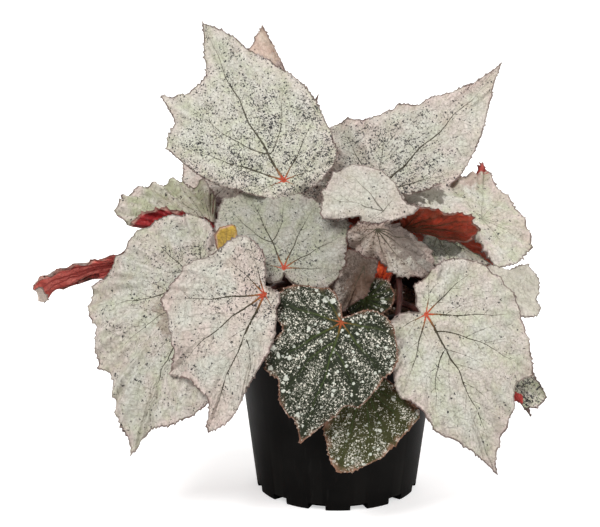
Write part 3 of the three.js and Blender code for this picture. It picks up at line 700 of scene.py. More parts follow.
    def grow_side_veins(self):
        """Side veins leave the main ones by turns to each side, and fine ones leave the side veins."""
        for points, halves, ink, _ in list(self.veins):
            length = len(points) * VEIN_STEP
            side = 1 if self.chance.uniform() < 0.5 else -1
            for node in np.arange(0.15 * length + 4, 0.93 * length, NODE_SPACING):
                side = -side
                at = min(int(node / VEIN_STEP), len(points) - 2)
                grown, t = self.branch(points, at, side, SIDE_VEIN)
                if len(grown) > 3:
                    width = min(halves[at] * 0.65, 0.26) * (0.3 + 0.7 * (1 - t))
                    self.veins.append((grown, width, ink[at] * (0.8 - 0.6 * eased(t, 0, 0.9)), 1))
        for points, _, _, _ in [vein for vein in self.veins if vein[3] == 1]:
            side = 1
            for at in range(3, len(points) - 2, 3):
                side = -side
                grown, t = self.branch(points, at, side, FINE_VEIN)
                if len(grown) > 2:
                    self.veins.append((grown, 0.1 * (1 - 0.6 * t), 0.3 * (1 - 0.8 * t), 2))

    # -- the grid --

    def lay_grid(self):
        """The grid's points, the upper side and the underside: puffed between veins, waved and pleated."""
        spans = int(np.clip(self.longest / RING_SPACING, 8, 36))
        self.rings = np.concatenate([INNER_RINGS, np.linspace(0.065, 0.955, spans), OUTER_RINGS])
        inner = (self.margin[None] * self.rings[:, None, None]).reshape(-1, 2)
        self.toothed = self.margin + self.outward * self.tooth[:, None]
        self.flat = np.concatenate([[(0, 0)], inner, self.toothed])
        main, side = (
            np.concatenate([points for points, _, _, rank in self.veins if rank <= last]) for last in (0, 1)
        )
        self.hollow = nearest(self.flat, main)
        side_far = nearest(self.flat, side)
        self.edge = nearest(self.flat, self.toothed)
        far = np.linalg.norm(self.flat, axis=1)
        part = np.append(0, np.repeat(np.append(self.rings, 1.0), len(self.margin)))
        size = min(1.0, self.longest / 110)
        puff = self.leaf.puff * self.sizes.puff / MM
        height = puff * size * (1 - np.exp(-((self.hollow / (9 * size + 2)) ** 2)))
        height += (0.14 + 0.16 * eased(part, 0.45, 0.9)) * puff * (1 - np.exp(-((side_far / 2.6) ** 2)))
        height *= eased(far, 0, 9) * (1 - 0.5 * eased(part, 0.86, 1.0))
        for rise, wavelength, waves, full in LUMPS:
            height += rise * ripple(self.flat, self.chance, wavelength, waves) * eased(far, 2, full)
        wave = ripple(self.flat, self.chance, 30 + 14 * size, 6) * eased(part, 0.55, 1.0)
        height += self.sizes.wave / MM * size * wave
        round_by = np.append(0, np.tile(self.run, len(self.rings) + 1))[:, None]
        pleats = ripple(round_by, self.chance, 16, 4) + 0.5 * ripple(round_by, self.chance, 8, 4)
        ruffle = self.leaf.ruffle or size
        height += self.sizes.ruffle / MM * ruffle * pleats * eased(part, 0.72 - 0.2 * ruffle, 1.0)
        thick = MARGIN_THICKNESS + (1 - MARGIN_THICKNESS) * eased(self.edge, 0, 4)
        thick *= self.sizes.thickness / MM / 2
        knob = KNOB[0] * np.exp(-((far / KNOB[1]) ** 2))
        self.over = placed(self.leaf, np.column_stack([self.flat, height + thick]))
        self.under = placed(self.leaf, np.column_stack([self.flat, height - thick - knob]))

    def held(self, places, upper, lift):
        """Points of the flat blade, put on the grid's upper or under side and lifted off it."""
        turn = np.arctan2(places[:, 1], places[:, 0])
        turn = (turn - self.turns[0]) % TURN + self.turns[0]
        count = len(self.margin)
        column = np.clip(np.searchsorted(self.turns, turn, side="right") - 1, 0, count - 1)
        after = (column + 1) % count
        a, b = self.margin[column], self.margin[after]
        cross = a[:, 0] * b[:, 1] - a[:, 1] * b[:, 0]
        cross = np.where(np.abs(cross) < 1e-9, 1e-9, cross)
        share_a = (places[:, 0] * b[:, 1] - places[:, 1] * b[:, 0]) / cross
        share_b = (a[:, 0] * places[:, 1] - a[:, 1] * places[:, 0]) / cross
        part = np.clip(share_a + share_b, 1e-6, 0.999)
        across = np.clip(share_b / np.maximum(share_a + share_b, 1e-6), 0, 1)[:, None]
        steps = np.append(0, self.rings)
        row = np.clip(np.searchsorted(steps, part, side="right") - 1, 0, len(steps) - 2)
        between = ((part - steps[row]) / (steps[row + 1] - steps[row]))[:, None]

        def on_ring(points, line):
            first, second = (
                points[np.where(line == 0, 0, 1 + (line - 1) * count + place)] for place in (column, after)
            )
            return first * (1 - across) + second * across

        top, bottom = (
            on_ring(points, row) * (1 - between) + on_ring(points, row + 1) * between
            for points in (self.over, self.under)
        )
        out = unit(top - bottom)
        return top + out * lift if upper else bottom - out * lift

    def layers(self, flat, edge, ink, hollow):
        """What the materials read: the flat place with the leaf's own number, mm to the margin, mm to the
        stalk point, how dark a vein's ink is, and mm to the nearest main vein."""
        flat = np.column_stack([flat, np.full(len(flat), LEAF_APART * self.seed)])
        stem = np.linalg.norm(flat[:, :2], axis=1)
        return {"flat": flat, "edge": edge, "stem": stem, "ink": ink, "hollow": hollow}

    def add_vein(self, shell, vein, upper):
        """A vein as a closed three-sided strip, half sunk in the blade."""
        points, halves, ink, _ = vein
        ways = unit(np.gradient(points, axis=0))
        side = np.stack([-ways[:, 1], ways[:, 0]], axis=1)
        halves = halves if upper else halves * 1.5 + 0.05
        crest = 0.05 + 0.3 * halves if upper else 0.12 + 0.9 * halves
        left = self.held(points + side * halves[:, None], upper, -SUNK)
        ridge = self.held(points, upper, crest[:, None])
        right = self.held(points - side * halves[:, None], upper, -SUNK)
        count = len(points)
        faces = []
        for i in range(count - 1):
            for low, high in ((count, 0), (2 * count, count), (0, 2 * count)):
                faces.append((low + i, low + i + 1, high + i + 1, high + i))
        faces += [(count, 0, 2 * count), (2 * count - 1, 3 * count - 1, count - 1)]
        if not upper:
            faces = [face[::-1] for face in faces]
        flat = np.concatenate([points] * 3)
        layers = self.layers(flat, nearest(flat, self.toothed), np.tile(ink, 3), np.zeros(len(flat)))
        shell.add(np.concatenate([left, ridge, right]), faces, 0 if upper else 1, **layers)

    def shell(self):
        """The whole blade: slot 0 is its upper side and its edge, slot 1 its underside."""
        shell = Shell()
        count, rows, total = len(self.margin), len(self.rings) + 1, len(self.flat)
        round_pairs = list(zip(range(count), [*range(1, count), 0]))
        above = [(0, 1 + i, 1 + j) for i, j in round_pairs]
        above += [
            (1 + r * count + i, 1 + (r + 1) * count + i, 1 + (r + 1) * count + j, 1 + r * count + j)
            for r in range(rows - 1)
            for i, j in round_pairs
        ]
        rim = 1 + (rows - 1) * count
        wall = [(rim + i, total + rim + i, total + rim + j, rim + j) for i, j in round_pairs]
        below = [tuple(total + corner for corner in face[::-1]) for face in above]
        layers = self.layers(self.flat, self.edge, np.zeros(total), self.hollow)
        doubled = {name: np.concatenate([values, values]) for name, values in layers.items()}
        shell.add(np.concatenate([self.over, self.under]), above + wall, 0, **doubled)
        shell.faces += below
        shell.slots += [1] * len(below)
        for vein in self.veins:
            self.add_vein(shell, vein, True)
            if vein[3] < 2:
                self.add_vein(shell, vein, False)
        return shell

    def tooth_bristles(self):
        """Where the margin's bristles stand, and which way they point."""
        count = len(self.margin)
        tips = len(self.flat) - count + self.tooth_tips
        place = (self.over[tips] + self.under[tips]) / 2
        inside = (self.over[tips - 2 * count] + self.under[tips - 2 * count]) / 2
        return place, unit(place - inside)


# ---- The petiole ----


def petiole_route(leaf, steps):
    """The curve from the rhizome to just under the blade, as in the frame."""
    axes = leaf_frame(leaf)
    foot = np.array([*leaf.foot, RHIZOME_HEIGHT], float)
    top = np.array(leaf.at, float) - axes[2] * 1.5
    along, below, aside = leaf.arrival
    arrival = unit(np.array([along, aside, below], float) @ axes)
    length = np.linalg.norm(top - foot)
    first = foot + unit(np.array(leaf.rise, float)) * length * leaf.lift
    second = top - arrival * length * leaf.run_in
    t = np.linspace(0, 1, steps)[:, None]
    return (
        foot * (1 - t) ** 3 + 3 * first * t * (1 - t) ** 2 + 3 * second * t**2 * (1 - t) + top * t**3
    )


# ---- Building node trees ----

KINDS = {float: "Float", int: "Int", tuple: "Color"}
OUTPUT_KINDS = {"VALUE": "Float", "RGBA": "Color", "GEOMETRY": "Geometry"}


def fill(socket, value):
    """Sets a socket's value; a colour may come without its alpha."""
    socket.default_value = (*value[:3], 1.0) if socket.type == "RGBA" else value


class Tree:
    """Adds nodes to one shader or geometry tree. Most methods give an output of the new node."""

    def __init__(self, tree):
        self.tree = tree

    def add(self, kind, values=None, **settings):
        """Adds a node. Its values are set on its inputs, or linked to them where they are sockets."""
        node = self.tree.nodes.new(kind)
        for name, value in settings.items():
            setattr(node, name, value)
        for name, value in (values or {}).items():
            if isinstance(value, bpy.types.NodeSocket):
                self.tree.links.new(value, node.inputs[name])
            else:
                fill(node.inputs[name], value)
        return node

    def get(self, kind, values=None, **settings):
        """Adds a node, and gives its first output."""
        return self.add(kind, values, **settings).outputs[0]

    def calc(self, operation, *values, clamp=False):
        return self.get("ShaderNodeMath", dict(enumerate(values)), operation=operation, use_clamp=clamp)

    def times(self, value, factor, plus=None, clamp=False):
        """A value times a factor, and plus a third where it is given."""
        if plus is None:
            return self.calc("MULTIPLY", value, factor, clamp=clamp)
        return self.calc("MULTIPLY_ADD", value, factor, plus, clamp=clamp)

    def vector(self, operation, *values, scale=None):
        values = dict(enumerate(values)) | ({} if scale is None else {"Scale": scale})
        return self.get("ShaderNodeVectorMath", values, operation=operation)

    def ranged(self, value, low, high, to_low=0.0, to_high=1.0):
        """Maps low..high smoothly to to_low..to_high; low may be the larger."""
        values = {0: value, 1: low, 2: high, 3: to_low, 4: to_high}
        return self.get("ShaderNodeMapRange", values, interpolation_type="SMOOTHSTEP")

    def mix(self, share, first, second):
        values = {0: share, 6: first, 7: second}
        return self.add("ShaderNodeMix", values, data_type="RGBA").outputs[2]

    def noise(self, vector, scale, **more):
        return self.add("ShaderNodeTexNoise", {"Vector": vector, "Scale": scale, **more}).outputs

    def clouds(self, vector, scale, detail=2.0, roughness=0.55):
        return self.noise(vector, scale, Detail=detail, Roughness=roughness)[0]

    def cells(self, vector, scale, feature="F1"):
        return self.add("ShaderNodeTexVoronoi", {"Vector": vector, "Scale": scale}, feature=feature).outputs

    def drawn_out(self, vector, x, y, z):
        """The pattern's coordinates scaled, so that it is drawn out where the factor is small."""
        return self.get("ShaderNodeMapping", {"Vector": vector, "Scale": (x, y, z)})

    def layer(self, name):
        """A piece's own layer, as a vector socket and a number socket."""
        outputs = self.add("ShaderNodeAttribute", attribute_name=name).outputs
        return outputs["Vector"], outputs["Fac"]

    def effect(self, name, values):
        return self.add("ShaderNodeGroup", values, node_tree=bpy.data.node_groups[name]).outputs

    def specks(self, vector, size, density, raggedness):
        values = {"Vector": vector, "Size": size, "Density": density, "Raggedness": raggedness}
        return self.effect("Speck field", values)


class NewTree(Tree):
    """A tree of its own with named inputs; an input's value sets its kind, or names it where it has none."""

    def __init__(self, name, inputs, kind="ShaderNodeTree"):
        super().__init__(bpy.data.node_groups.new(name, kind))
        for title, value in inputs.items():
            kind = value if isinstance(value, str) else KINDS[type(value)]
            socket = self.tree.interface.new_socket(title, in_out="INPUT", socket_type="NodeSocket" + kind)
            if kind != value:
                socket.default_value = value
        self.given = self.tree.nodes.new("NodeGroupInput").outputs

    def give(self, **results):
        """Adds the tree's outputs, and links the results to them."""
        for title, result in results.items():
            kind = "NodeSocket" + OUTPUT_KINDS[result.type]
            self.tree.interface.new_socket(title, in_out="OUTPUT", socket_type=kind)
        ends = self.tree.nodes.new("NodeGroupOutput").inputs
        for title, result in results.items():
            self.tree.links.new(result, ends[title])


class Finish(Tree):
    """A material with a Principled shader, and the colour that its coats are laid on."""

    def __init__(self, name, gloss, **sockets):
        self.material = bpy.data.materials.new(name)
        self.material.use_nodes = True
        super().__init__(self.material.node_tree)
        self.tree.nodes.clear()
        self.shader = self.add("ShaderNodeBsdfPrincipled", {"Specular IOR Level": gloss, **sockets})
        self.add("ShaderNodeOutputMaterial", {"Surface": self.shader.outputs[0]})

    def where(self):
        return self.add("ShaderNodeTexCoord").outputs["Object"]

    def start(self, share, first, second):
        self.base = self.mix(share, first, second)

    def coat(self, share, tint, times=None):
        """Lays a colour over the base by a share, which may be a mask times a strength."""
        self.base = self.mix(share if times is None else self.times(share, times), self.base, tint)

    def link(self, **sockets):
        for title, socket in sockets.items():
            self.tree.links.new(socket, self.shader.inputs[title.replace("_", " ")])

    def done(self, height, depth, sheen, rough, spread=(0.2, 0.8)):
        """Links the base, a bump of a depth in metres, and a roughness that follows the sheen's pattern."""
        bump = self.get("ShaderNodeBump", {"Height": height, "Distance": depth})
        self.link(Base_Color=self.base, Roughness=self.ranged(sheen, *spread, *rough), Normal=bump)
        return self.material


# ---- Effects that several materials use ----


def make_speck_field():
    """Irregular specks of mixed size, strewn over a surface: where they are, and a shade for each."""
    tree = NewTree("Speck field", {"Vector": "Vector", "Size": 1.0, "Density": 0.5, "Raggedness": 0.3})
    given = tree.given
    scaled = tree.vector("SCALE", given["Vector"], scale=tree.calc("DIVIDE", 1.0, given["Size"]))
    centred = tree.vector("SUBTRACT", tree.noise(scaled, 1.7)[1], (0.5, 0.5, 0.5))
    moved = tree.vector("ADD", scaled, tree.vector("SCALE", centred, scale=given["Raggedness"]))
    spots = tree.cells(moved, 1.0)
    chance, size, shade = tree.add("ShaderNodeSeparateColor", {0: spots["Color"]}).outputs
    inside = tree.calc("SUBTRACT", tree.ranged(size, 0.0, 1.0, 0.24, 0.52), spots["Distance"])
    sharp = tree.times(inside, 16.0, clamp=True)
    tree.give(Mask=tree.times(sharp, tree.calc("LESS_THAN", chance, given["Density"])), Shade=shade)


def make_worm_field():
    """Short crooked dashes and dots, strewn over a surface: where they are."""
    tree = NewTree("Worm field", {"Vector": "Vector", "Size": 1.0, "Density": 0.5})
    given = tree.given
    scaled = tree.vector("SCALE", given["Vector"], scale=tree.calc("DIVIDE", 1.0, given["Size"]))
    paths = tree.calc("ABSOLUTE", tree.calc("SUBTRACT", tree.clouds(scaled, 0.42, 1.5), 0.5))
    least = tree.times(given["Density"], -0.3, 0.7)
    there = tree.times(tree.calc("SUBTRACT", tree.clouds(scaled, 0.8, 1.0), least), 18.0, clamp=True)
    tree.give(Mask=tree.times(tree.ranged(paths, 0.052, 0.03), there))


def make_living_grain():
    """The fine relief of living skin: a grain, creases, and a net of small veins that lies lower; and a mask
    of the crease valleys, for painted shade.
    """
    tree = NewTree("Living grain", {"Vector": "Vector", "Grain": 1.4, "Net": 0.24})
    flat = tree.given["Vector"]
    creases = tree.clouds(flat, 0.2, 4.0, 0.6)
    grain = tree.times(creases, 3.5, tree.clouds(flat, tree.given["Grain"], 3.0))
    shifted = tree.vector("MULTIPLY_ADD", tree.noise(flat, 0.35)[1], (3.0, 3.0, 3.0), flat)
    walls = tree.cells(shifted, tree.given["Net"], "DISTANCE_TO_EDGE")["Distance"]
    net = tree.ranged(walls, 0.09, 0.0)
    # Crease masks the crease valleys, where the skin gets painted shade
    tree.give(
        Height=tree.times(net, -0.6, grain), Net=net, Mottle=tree.clouds(flat, 0.13, 3.0),
        Crease=tree.ranged(creases, 0.52, 0.34),
    )


def make_veins_and_margin():
    """What all blades share: the orange-red star at the stalk point, vein ink and the red margin line."""
    black = (0.0, 0.0, 0.0, 1.0)
    tree = NewTree("Veins and margin", {
        "Base": (1.0, 1.0, 1.0, 1.0), "Vector": "Vector", "Edge": 5.0, "Stem": 50.0, "Ink": 0.0,
        "Ink colour": black, "Margin colour": black, "Margin": 0.8, "Star": 1.0,
    })
    given = tree.given
    warm = tree.times(tree.ranged(given["Stem"], 13.0, 3.0), given["Star"])
    rust = tree.mix(warm, given["Ink colour"], (0.24, 0.09, 0.02))
    inked = tree.mix(tree.times(given["Ink"], 0.94), given["Base"], rust)
    uneven = tree.clouds(given["Vector"], 0.5)
    line = tree.calc("DIVIDE", given["Edge"], tree.times(uneven, 1.2, 0.45))
    broken = tree.ranged(tree.clouds(given["Vector"], 0.09), 0.36, 0.58, 0.6, 1.0)
    near = tree.times(tree.ranged(line, 1.25, 0.6), broken)
    rimmed = tree.mix(tree.times(near, given["Margin"]), inked, given["Margin colour"])
    reach = tree.times(uneven, 1.2, tree.times(given["Ink"], 2.4, 1.0))
    star = tree.ranged(tree.calc("DIVIDE", given["Stem"], reach), 1.15, 0.7)
    tree.give(Color=tree.mix(tree.times(star, given["Star"]), rimmed, (0.42, 0.06, 0.025)))


# ---- Leaf finishes ----


@dataclass
class Look:
    """How strongly each of these shows on a silver leaf."""

    pink: float = 0.35
    green: float = 0.35
    specks: float = 0.2
    thick_to: float = 20.0  # mm from the stalk point within which specks are thick
    shade: float = 0.0  # brown, deepest towards the stalk point, and painted shade in the grooves along the main veins
    grey: float = 0.0
    ink: float = 1.0  # in the veins
    star: float = 0.0  # orange, at the stalk point
    patches: tuple = ()  # (x, y and radius in mm on the flat blade, how much, colour): the leaf's own stains, and on some leaves painted shade and painted light, as noted at each


LEAF_LOOKS = {
    "upper_left": Look(0.12, 0.5, 0.6, 105.0, star=1.0),
    "upper_right": Look(0.5, 0.3, 0.65, 70.0, star=0.5),
    "centre_top": Look(0.3, 0.2, 0.12, 30.0, grey=0.13, ink=0.8),
    "centre": Look(0.1, 0.6, 0.4, 30.0, grey=0.38, ink=1.2, star=1.0),
    "front_left": Look(0.75, 0.15, 0.46, 42.0, grey=0.05, ink=1.2, star=1.0),
    # left_large: its brown patch is painted shade where front_left hangs over it
    "left_large": Look(0.45, 0.5, 0.45, 55.0, grey=0.06, star=0.5, patches=(
        (26, -6, 15, 0.45, (0.2, 0.13, 0.09)),
    )),
    "right_large": Look(0.45, 0.5, 0.17, 24.0, grey=0.08, ink=1.35, star=1.0),
    # centre_folded: its two dark patches are painted shade on the right flank of its fold
    "centre_folded": Look(1.0, 0.1, 0.4, 40.0, shade=0.55, grey=0.08, ink=1.3, patches=(
        (10, 23, 20, 0.75, (0.12, 0.09, 0.075)), (34, 24, 17, 0.45, (0.12, 0.09, 0.075)),
    )),
    "inner_hanging": Look(1.0, 0.1, 1.0, 30.0, shade=0.9, grey=0.3, ink=0.9, patches=(
        (0, 0, 23, 0.7, (0.05, 0.03, 0.02)), (16, 5, 13, 0.5, (0.1, 0.05, 0.03)),
    )),
    # right_mid: a red tip and a brown blotch of its own; the two near-black patches on its back lobe are
    # painted shade under upper_right
    "right_mid": Look(0.6, 0.6, 0.15, 30.0, grey=0.03, ink=0.4, patches=(
        (-26, 32, 14, 0.5, (0.3, 0.2, 0.16)), (-22, 51, 12, 0.95, (0.36, 0.02, 0.012)),
        (-49, -14, 13, 0.93, (0.07, 0.058, 0.042)), (-38, -2, 11, 0.8, (0.07, 0.058, 0.042)),
    )),
    # right_inner: its dark patch round the stalk point is painted shade from the leaves above
    "right_inner": Look(0.1, 1.0, 1.0, 26.0, patches=((0, 0, 23, 0.8, (0.07, 0.07, 0.055)),)),
    # right_back: its pale coat is painted light, whitening a blade that the leaves above keep in shade
    "right_back": Look(0.2, 0.4, 0.03, 10.0, ink=0.1, patches=((0, 0, 200, 0.45, (0.85, 0.82, 0.7)),)),
    "right_low": Look(0.2, 1.0, 0.9, 80.0, patches=(
        (43, -14, 6, 0.95, (0.45, 0.02, 0.02)), (57, -14, 6, 0.9, (0.05, 0.025, 0.02)),
    )),
    "left_upper": Look(0.4, 1.0, 0.3, 30.0, shade=0.22, ink=0.6),
    "far_left": Look(1.0, 0.0, 0.1, 20.0, ink=0.5, patches=((0, 0, 300, 0.4, (0.6, 0.4, 0.31)),)),
    # back_left: its two dark maroon patches are painted shade, the dark gap between left_upper and centre
    "back_left": Look(0.8, 0.1, 0.25, 30.0, ink=0.4, patches=(
        (15, 22, 9, 0.9, (0.06, 0.014, 0.012)), (12, 42, 14, 0.9, (0.06, 0.014, 0.012)),
    )),
    "back_top": Look(1.0, 0.0, 0.1, 20.0, shade=0.3, ink=0.3, patches=(
        (72, 16, 26, 0.28, (0.62, 0.42, 0.27)),
    )),
}
# The undersides that show: bright, deep and vein colours
USUAL_RED = ((0.52, 0.058, 0.018), (0.32, 0.05, 0.015), (0.14, 0.05, 0.015))
REDS = {
    "right_turned": ((0.42, 0.04, 0.014), (0.26, 0.034, 0.012), (0.1, 0.03, 0.01)),
    "far_left": ((0.95, 0.27, 0.22), (0.75, 0.15, 0.12), (0.4, 0.06, 0.05)),
    "left_upper": ((0.32, 0.006, 0.008), (0.2, 0.006, 0.009), (0.1, 0.005, 0.007)),
}
# Leaves of one colour on both sides: its slot, the finish's name, and the three colours
ONE_COLOUR = {
    # young_red: its own red, made brighter and more orange as a painted glow of light shining through the thin
    # blade
    "young_red": ("young_leaf", "young_red", ((0.85, 0.11, 0.012), (0.62, 0.05, 0.01), (0.4, 0.03, 0.01))),
    "old_yellow": ("old_leaf", "old_yellow", ((0.55, 0.36, 0.04), (0.4, 0.25, 0.03), (0.2, 0.13, 0.03))),
}
# The dark leaves: how much olive, specks in their thin places, tan at the margin, and star
DARK_LEAVES = {
    "front_dark": (0.0, 0.6, 0.3, 0.55),
    "low_dark": (0.75, 0.45, 0.6, 0.0),
    "inner_dark": (0.0, 0.45, 0.3, 0.0),
}
PATCH_EDGE = 0.7  # part of a patch's radius within which it is at its strongest


class BladeFinish(Finish):
    """A blade's material, with the layers that the blade's mesh carries."""

    def __init__(self, name, gloss, **grain):
        super().__init__(name, gloss)
        self.flat = self.layer("flat")[0]
        layers = (self.layer(name)[1] for name in ("edge", "stem", "ink", "hollow"))
        self.edge, self.stem, self.ink, self.hollow = layers
        self.grain = self.effect("Living grain", {"Vector": self.flat, **grain})
        self.mottle = self.grain["Mottle"]

    def mark(self, ink, ink_colour, margin_colour, margin=0.8, star=0.0):
        """Adds the veins' ink, the margin line and the star at the stalk point."""
        self.base = self.effect("Veins and margin", {
            "Base": self.base, "Vector": self.flat, "Edge": self.edge, "Stem": self.stem, "Ink": ink,
            "Ink colour": ink_colour, "Margin colour": margin_colour, "Margin": margin, "Star": star,
        })["Color"]


def silver_top(name, colours):
    """Pale grey-green and pink skin with black specks, for one leaf."""
    look = LEAF_LOOKS.get(name, Look())
    skin = BladeFinish("silver_" + name, 0.35)
    flat, stem, hollow, mottle = skin.flat, skin.stem, skin.hollow, skin.mottle
    blotches = skin.ranged(skin.clouds(flat, 0.045), 0.38, 0.62)
    pink = skin.times(blotches, look.pink, skin.ranged(skin.edge, 11.0, 0.0, 0.0, 0.45))
    pink = skin.times(skin.ranged(stem, 26.0, 4.0, 0.0, 0.3), look.pink + 0.2, pink, clamp=True)
    skin.start(pink, colours.silver, colours.pink)
    along_veins = skin.ranged(hollow, 7.0, 1.0, 0.0, 0.5)
    green = skin.times(skin.ranged(mottle, 0.42, 0.66), 0.8, along_veins)
    skin.coat(skin.times(green, look.green, clamp=True), colours.green)
    skin.coat(skin.grain["Net"], (0.24, 0.21, 0.13), 0.05)
    fine = skin.ranged(skin.clouds(flat, 0.7, 4.0, 0.75), 0.4, 0.65, 0.0, 0.48)
    skin.coat(fine, (0.22, 0.2, 0.155))
    # painted shade: the skin is darkened in the crease valleys
    skin.coat(skin.grain["Crease"], (0.24, 0.2, 0.16), 0.17)
    stain = skin.ranged(skin.clouds(flat, 0.1, 4.0, 0.7), 0.48, 0.7, 0.0, 0.26)
    skin.coat(stain, (0.28, 0.2, 0.14))
    thick = skin.ranged(stem, look.thick_to, look.thick_to * 0.3, 0.0, 1.0)
    density = skin.times(skin.ranged(skin.clouds(flat, 0.07), 0.42, 0.62), 0.75, 0.18)
    density = skin.times(skin.times(thick, 0.75, density), look.specks)
    worms = skin.effect("Worm field", {"Vector": flat, "Size": 1.0, "Density": density})
    skin.coat(worms["Mask"], (0.016, 0.016, 0.018), 0.95)
    skin.coat(skin.specks(flat, 1.5, skin.times(density, 0.6), 1.8)["Mask"], (0.016, 0.015, 0.017), 0.97)
    if look.shade:
        # painted shade in the grooves along the main veins, over a brown that deepens towards the stalk point
        groove_shade = skin.times(skin.ranged(hollow, 5.5, 0.5), 0.6, 0.25)
        brown_and_groove_shade = skin.times(skin.ranged(stem, 34.0, 6.0), 0.35, groove_shade)
        skin.coat(skin.times(brown_and_groove_shade, look.shade, clamp=True), (0.14, 0.075, 0.045))
    if look.grey:
        skin.coat(look.grey, (0.07, 0.07, 0.055))
    place = skin.vector("MULTIPLY", flat, (1.0, 1.0, 0.0))
    uneven = skin.calc("SUBTRACT", skin.clouds(flat, 0.16, 4.0, 0.7), 0.5)
    # patches: the leaf's own stains, and on some leaves painted shade and painted light, as noted in
    # LEAF_LOOKS
    for x, y, radius, share, tint in look.patches:
        away = skin.add("ShaderNodeVectorMath", {0: place, 1: (x, y, 0.0)}, operation="DISTANCE")
        ragged = skin.times(uneven, radius * 2.0, away.outputs["Value"])
        skin.coat(skin.ranged(ragged, radius, radius * PATCH_EDGE, 0.0, share), tint)
    skin.mark(skin.times(skin.ink, look.ink), (0.035, 0.028, 0.012), colours.margin, star=look.star)
    return skin.done(skin.grain["Height"], 0.0006, mottle, (0.42, 0.62))


def dark_top(name, colours):
    """Green-black skin with dense silver grain, white spots and green veins."""
    olive, thin, tan, star = DARK_LEAVES[name]
    skin = BladeFinish("dark_" + name, 0.15)
    mottle, mask = skin.mottle, skin.ranged(skin.clouds(skin.flat, 0.08), 0.35, 0.6, thin, 1.0)
    skin.start(mottle, colours.dark, (0.016, 0.021, 0.009))
    if olive:
        skin.coat(olive, (0.05, 0.05, 0.014))
    amount = skin.times(mask, skin.ranged(skin.hollow, 0.6, 5.0, 0.15, 1.0))
    for size in (0.85, 1.2):
        grains = skin.specks(skin.flat, size, amount, 1.4)
        skin.coat(grains["Mask"], skin.mix(grains["Shade"], (0.1, 0.11, 0.08), (0.82, 0.78, 0.68)), 0.9)
    for size, share, strength in ((2.4, 0.16, 0.8), (4.2, 0.1, 0.85)):
        skin.coat(skin.specks(skin.flat, size, share, 0.7)["Mask"], (0.6, 0.62, 0.55), strength)
    vein = skin.ranged(skin.hollow, 1.5, 0.2)
    skin.coat(vein, (0.045, 0.053, 0.018), skin.ranged(skin.stem, 40.0, 5.0))
    rim = skin.times(skin.ranged(skin.edge, 5.0, 0.5), skin.ranged(mottle, 0.45, 0.65))
    skin.coat(rim, (0.33, 0.18, 0.12), tan)
    skin.mark(skin.ink, (0.05, 0.075, 0.02), (0.3, 0.13, 0.09), 0.45, star)
    return skin.done(skin.grain["Height"], 0.0005, mottle, (0.36, 0.55))


def red_side(name, bright, deep, ink_colour):
    """A blade's red underside, or a young or old leaf: two tones of one colour with darker veins."""
    skin = BladeFinish(name, 0.35, Net=0.3)
    skin.start(skin.ranged(skin.mottle, 0.35, 0.65), bright, deep)
    skin.coat(skin.ranged(skin.hollow, 3.5, 0.5, 0.0, 0.5), ink_colour)
    skin.coat(skin.grain["Net"], ink_colour, 0.35)
    pale = skin.times(skin.ranged(skin.edge, 2.2, 1.0), skin.ranged(skin.mottle, 0.38, 0.55))
    skin.coat(pale, (0.48, 0.3, 0.24), 0.8)
    skin.mark(skin.ink, ink_colour, (0.09, 0.03, 0.022))
    return skin.done(skin.grain["Height"], 0.0005, skin.mottle, (0.4, 0.6))


# ---- The other finishes ----


def stalk_skin():
    """Red-brown petiole skin, streaked lengthwise and flecked."""
    finish = Finish("petiole_skin", 0.25)
    skin = finish.layer("skin")[0]
    streaks = finish.clouds(finish.drawn_out(skin, 1.0, 0.12, 1.0), 0.9, 3.0)
    finish.start(finish.ranged(streaks, 0.35, 0.65), (0.045, 0.011, 0.008), (0.026, 0.008, 0.006))
    finish.coat(finish.specks(skin, 1.6, 0.4, 0.4)["Mask"], (0.12, 0.05, 0.035), 0.4)
    return finish.done(streaks, 0.0003, streaks, (0.38, 0.6))


def hair_material(name, tint):
    finish = Finish(name, 0.3)
    uneven = finish.clouds(finish.where(), 160.0, 1.0)
    dark = tuple(part * 0.45 for part in tint)
    finish.link(
        Base_Color=finish.mix(uneven, tint, dark), Roughness=finish.ranged(uneven, 0.2, 0.8, 0.45, 0.65)
    )
    return finish.material


def rhizome_skin():
    """Fleshy brown-green stem with pale ring scars."""
    finish = Finish("rhizome_bark", 0.35)
    grain = finish.effect("Living grain", {"Vector": finish.layer("skin")[0], "Grain": 0.9, "Net": 0.4})
    mottle = grain["Mottle"]
    finish.start(finish.ranged(mottle, 0.35, 0.65), (0.2, 0.09, 0.045), (0.12, 0.1, 0.05))
    finish.coat(grain["Net"], (0.07, 0.035, 0.02), 0.6)
    finish.coat(finish.layer("ring")[1], (0.42, 0.28, 0.17), 0.7)
    return finish.done(grain["Height"], 0.0008, mottle, (0.5, 0.75))


def soil_crumb():
    """Peat and bark mix: dark brown, with lighter fibres."""
    finish = Finish("potting_soil", 0.2)
    where = finish.where()
    lumps = finish.clouds(where, 260.0, 5.0, 0.7)
    finish.start(finish.ranged(lumps, 0.35, 0.65), (0.012, 0.008, 0.005), (0.085, 0.05, 0.028))
    fibres = finish.ranged(finish.clouds(finish.drawn_out(where, 1.0, 0.2, 1.0), 900.0), 0.6, 0.7)
    finish.coat(fibres, (0.24, 0.14, 0.07), 0.5)
    return finish.done(lumps, 0.0015, lumps, (0.8, 1.0))


def chip_material(name, light, dark, rough):
    """Bark chips or perlite: one pale and one dark tone in lumps."""
    finish = Finish(name, 0.25)
    lumps = finish.clouds(finish.where(), 420.0, 4.0, 0.6)
    finish.start(finish.ranged(lumps, 0.35, 0.65), dark, light)
    return finish.done(lumps, 0.0006, lumps, (rough - 0.1, rough + 0.1))


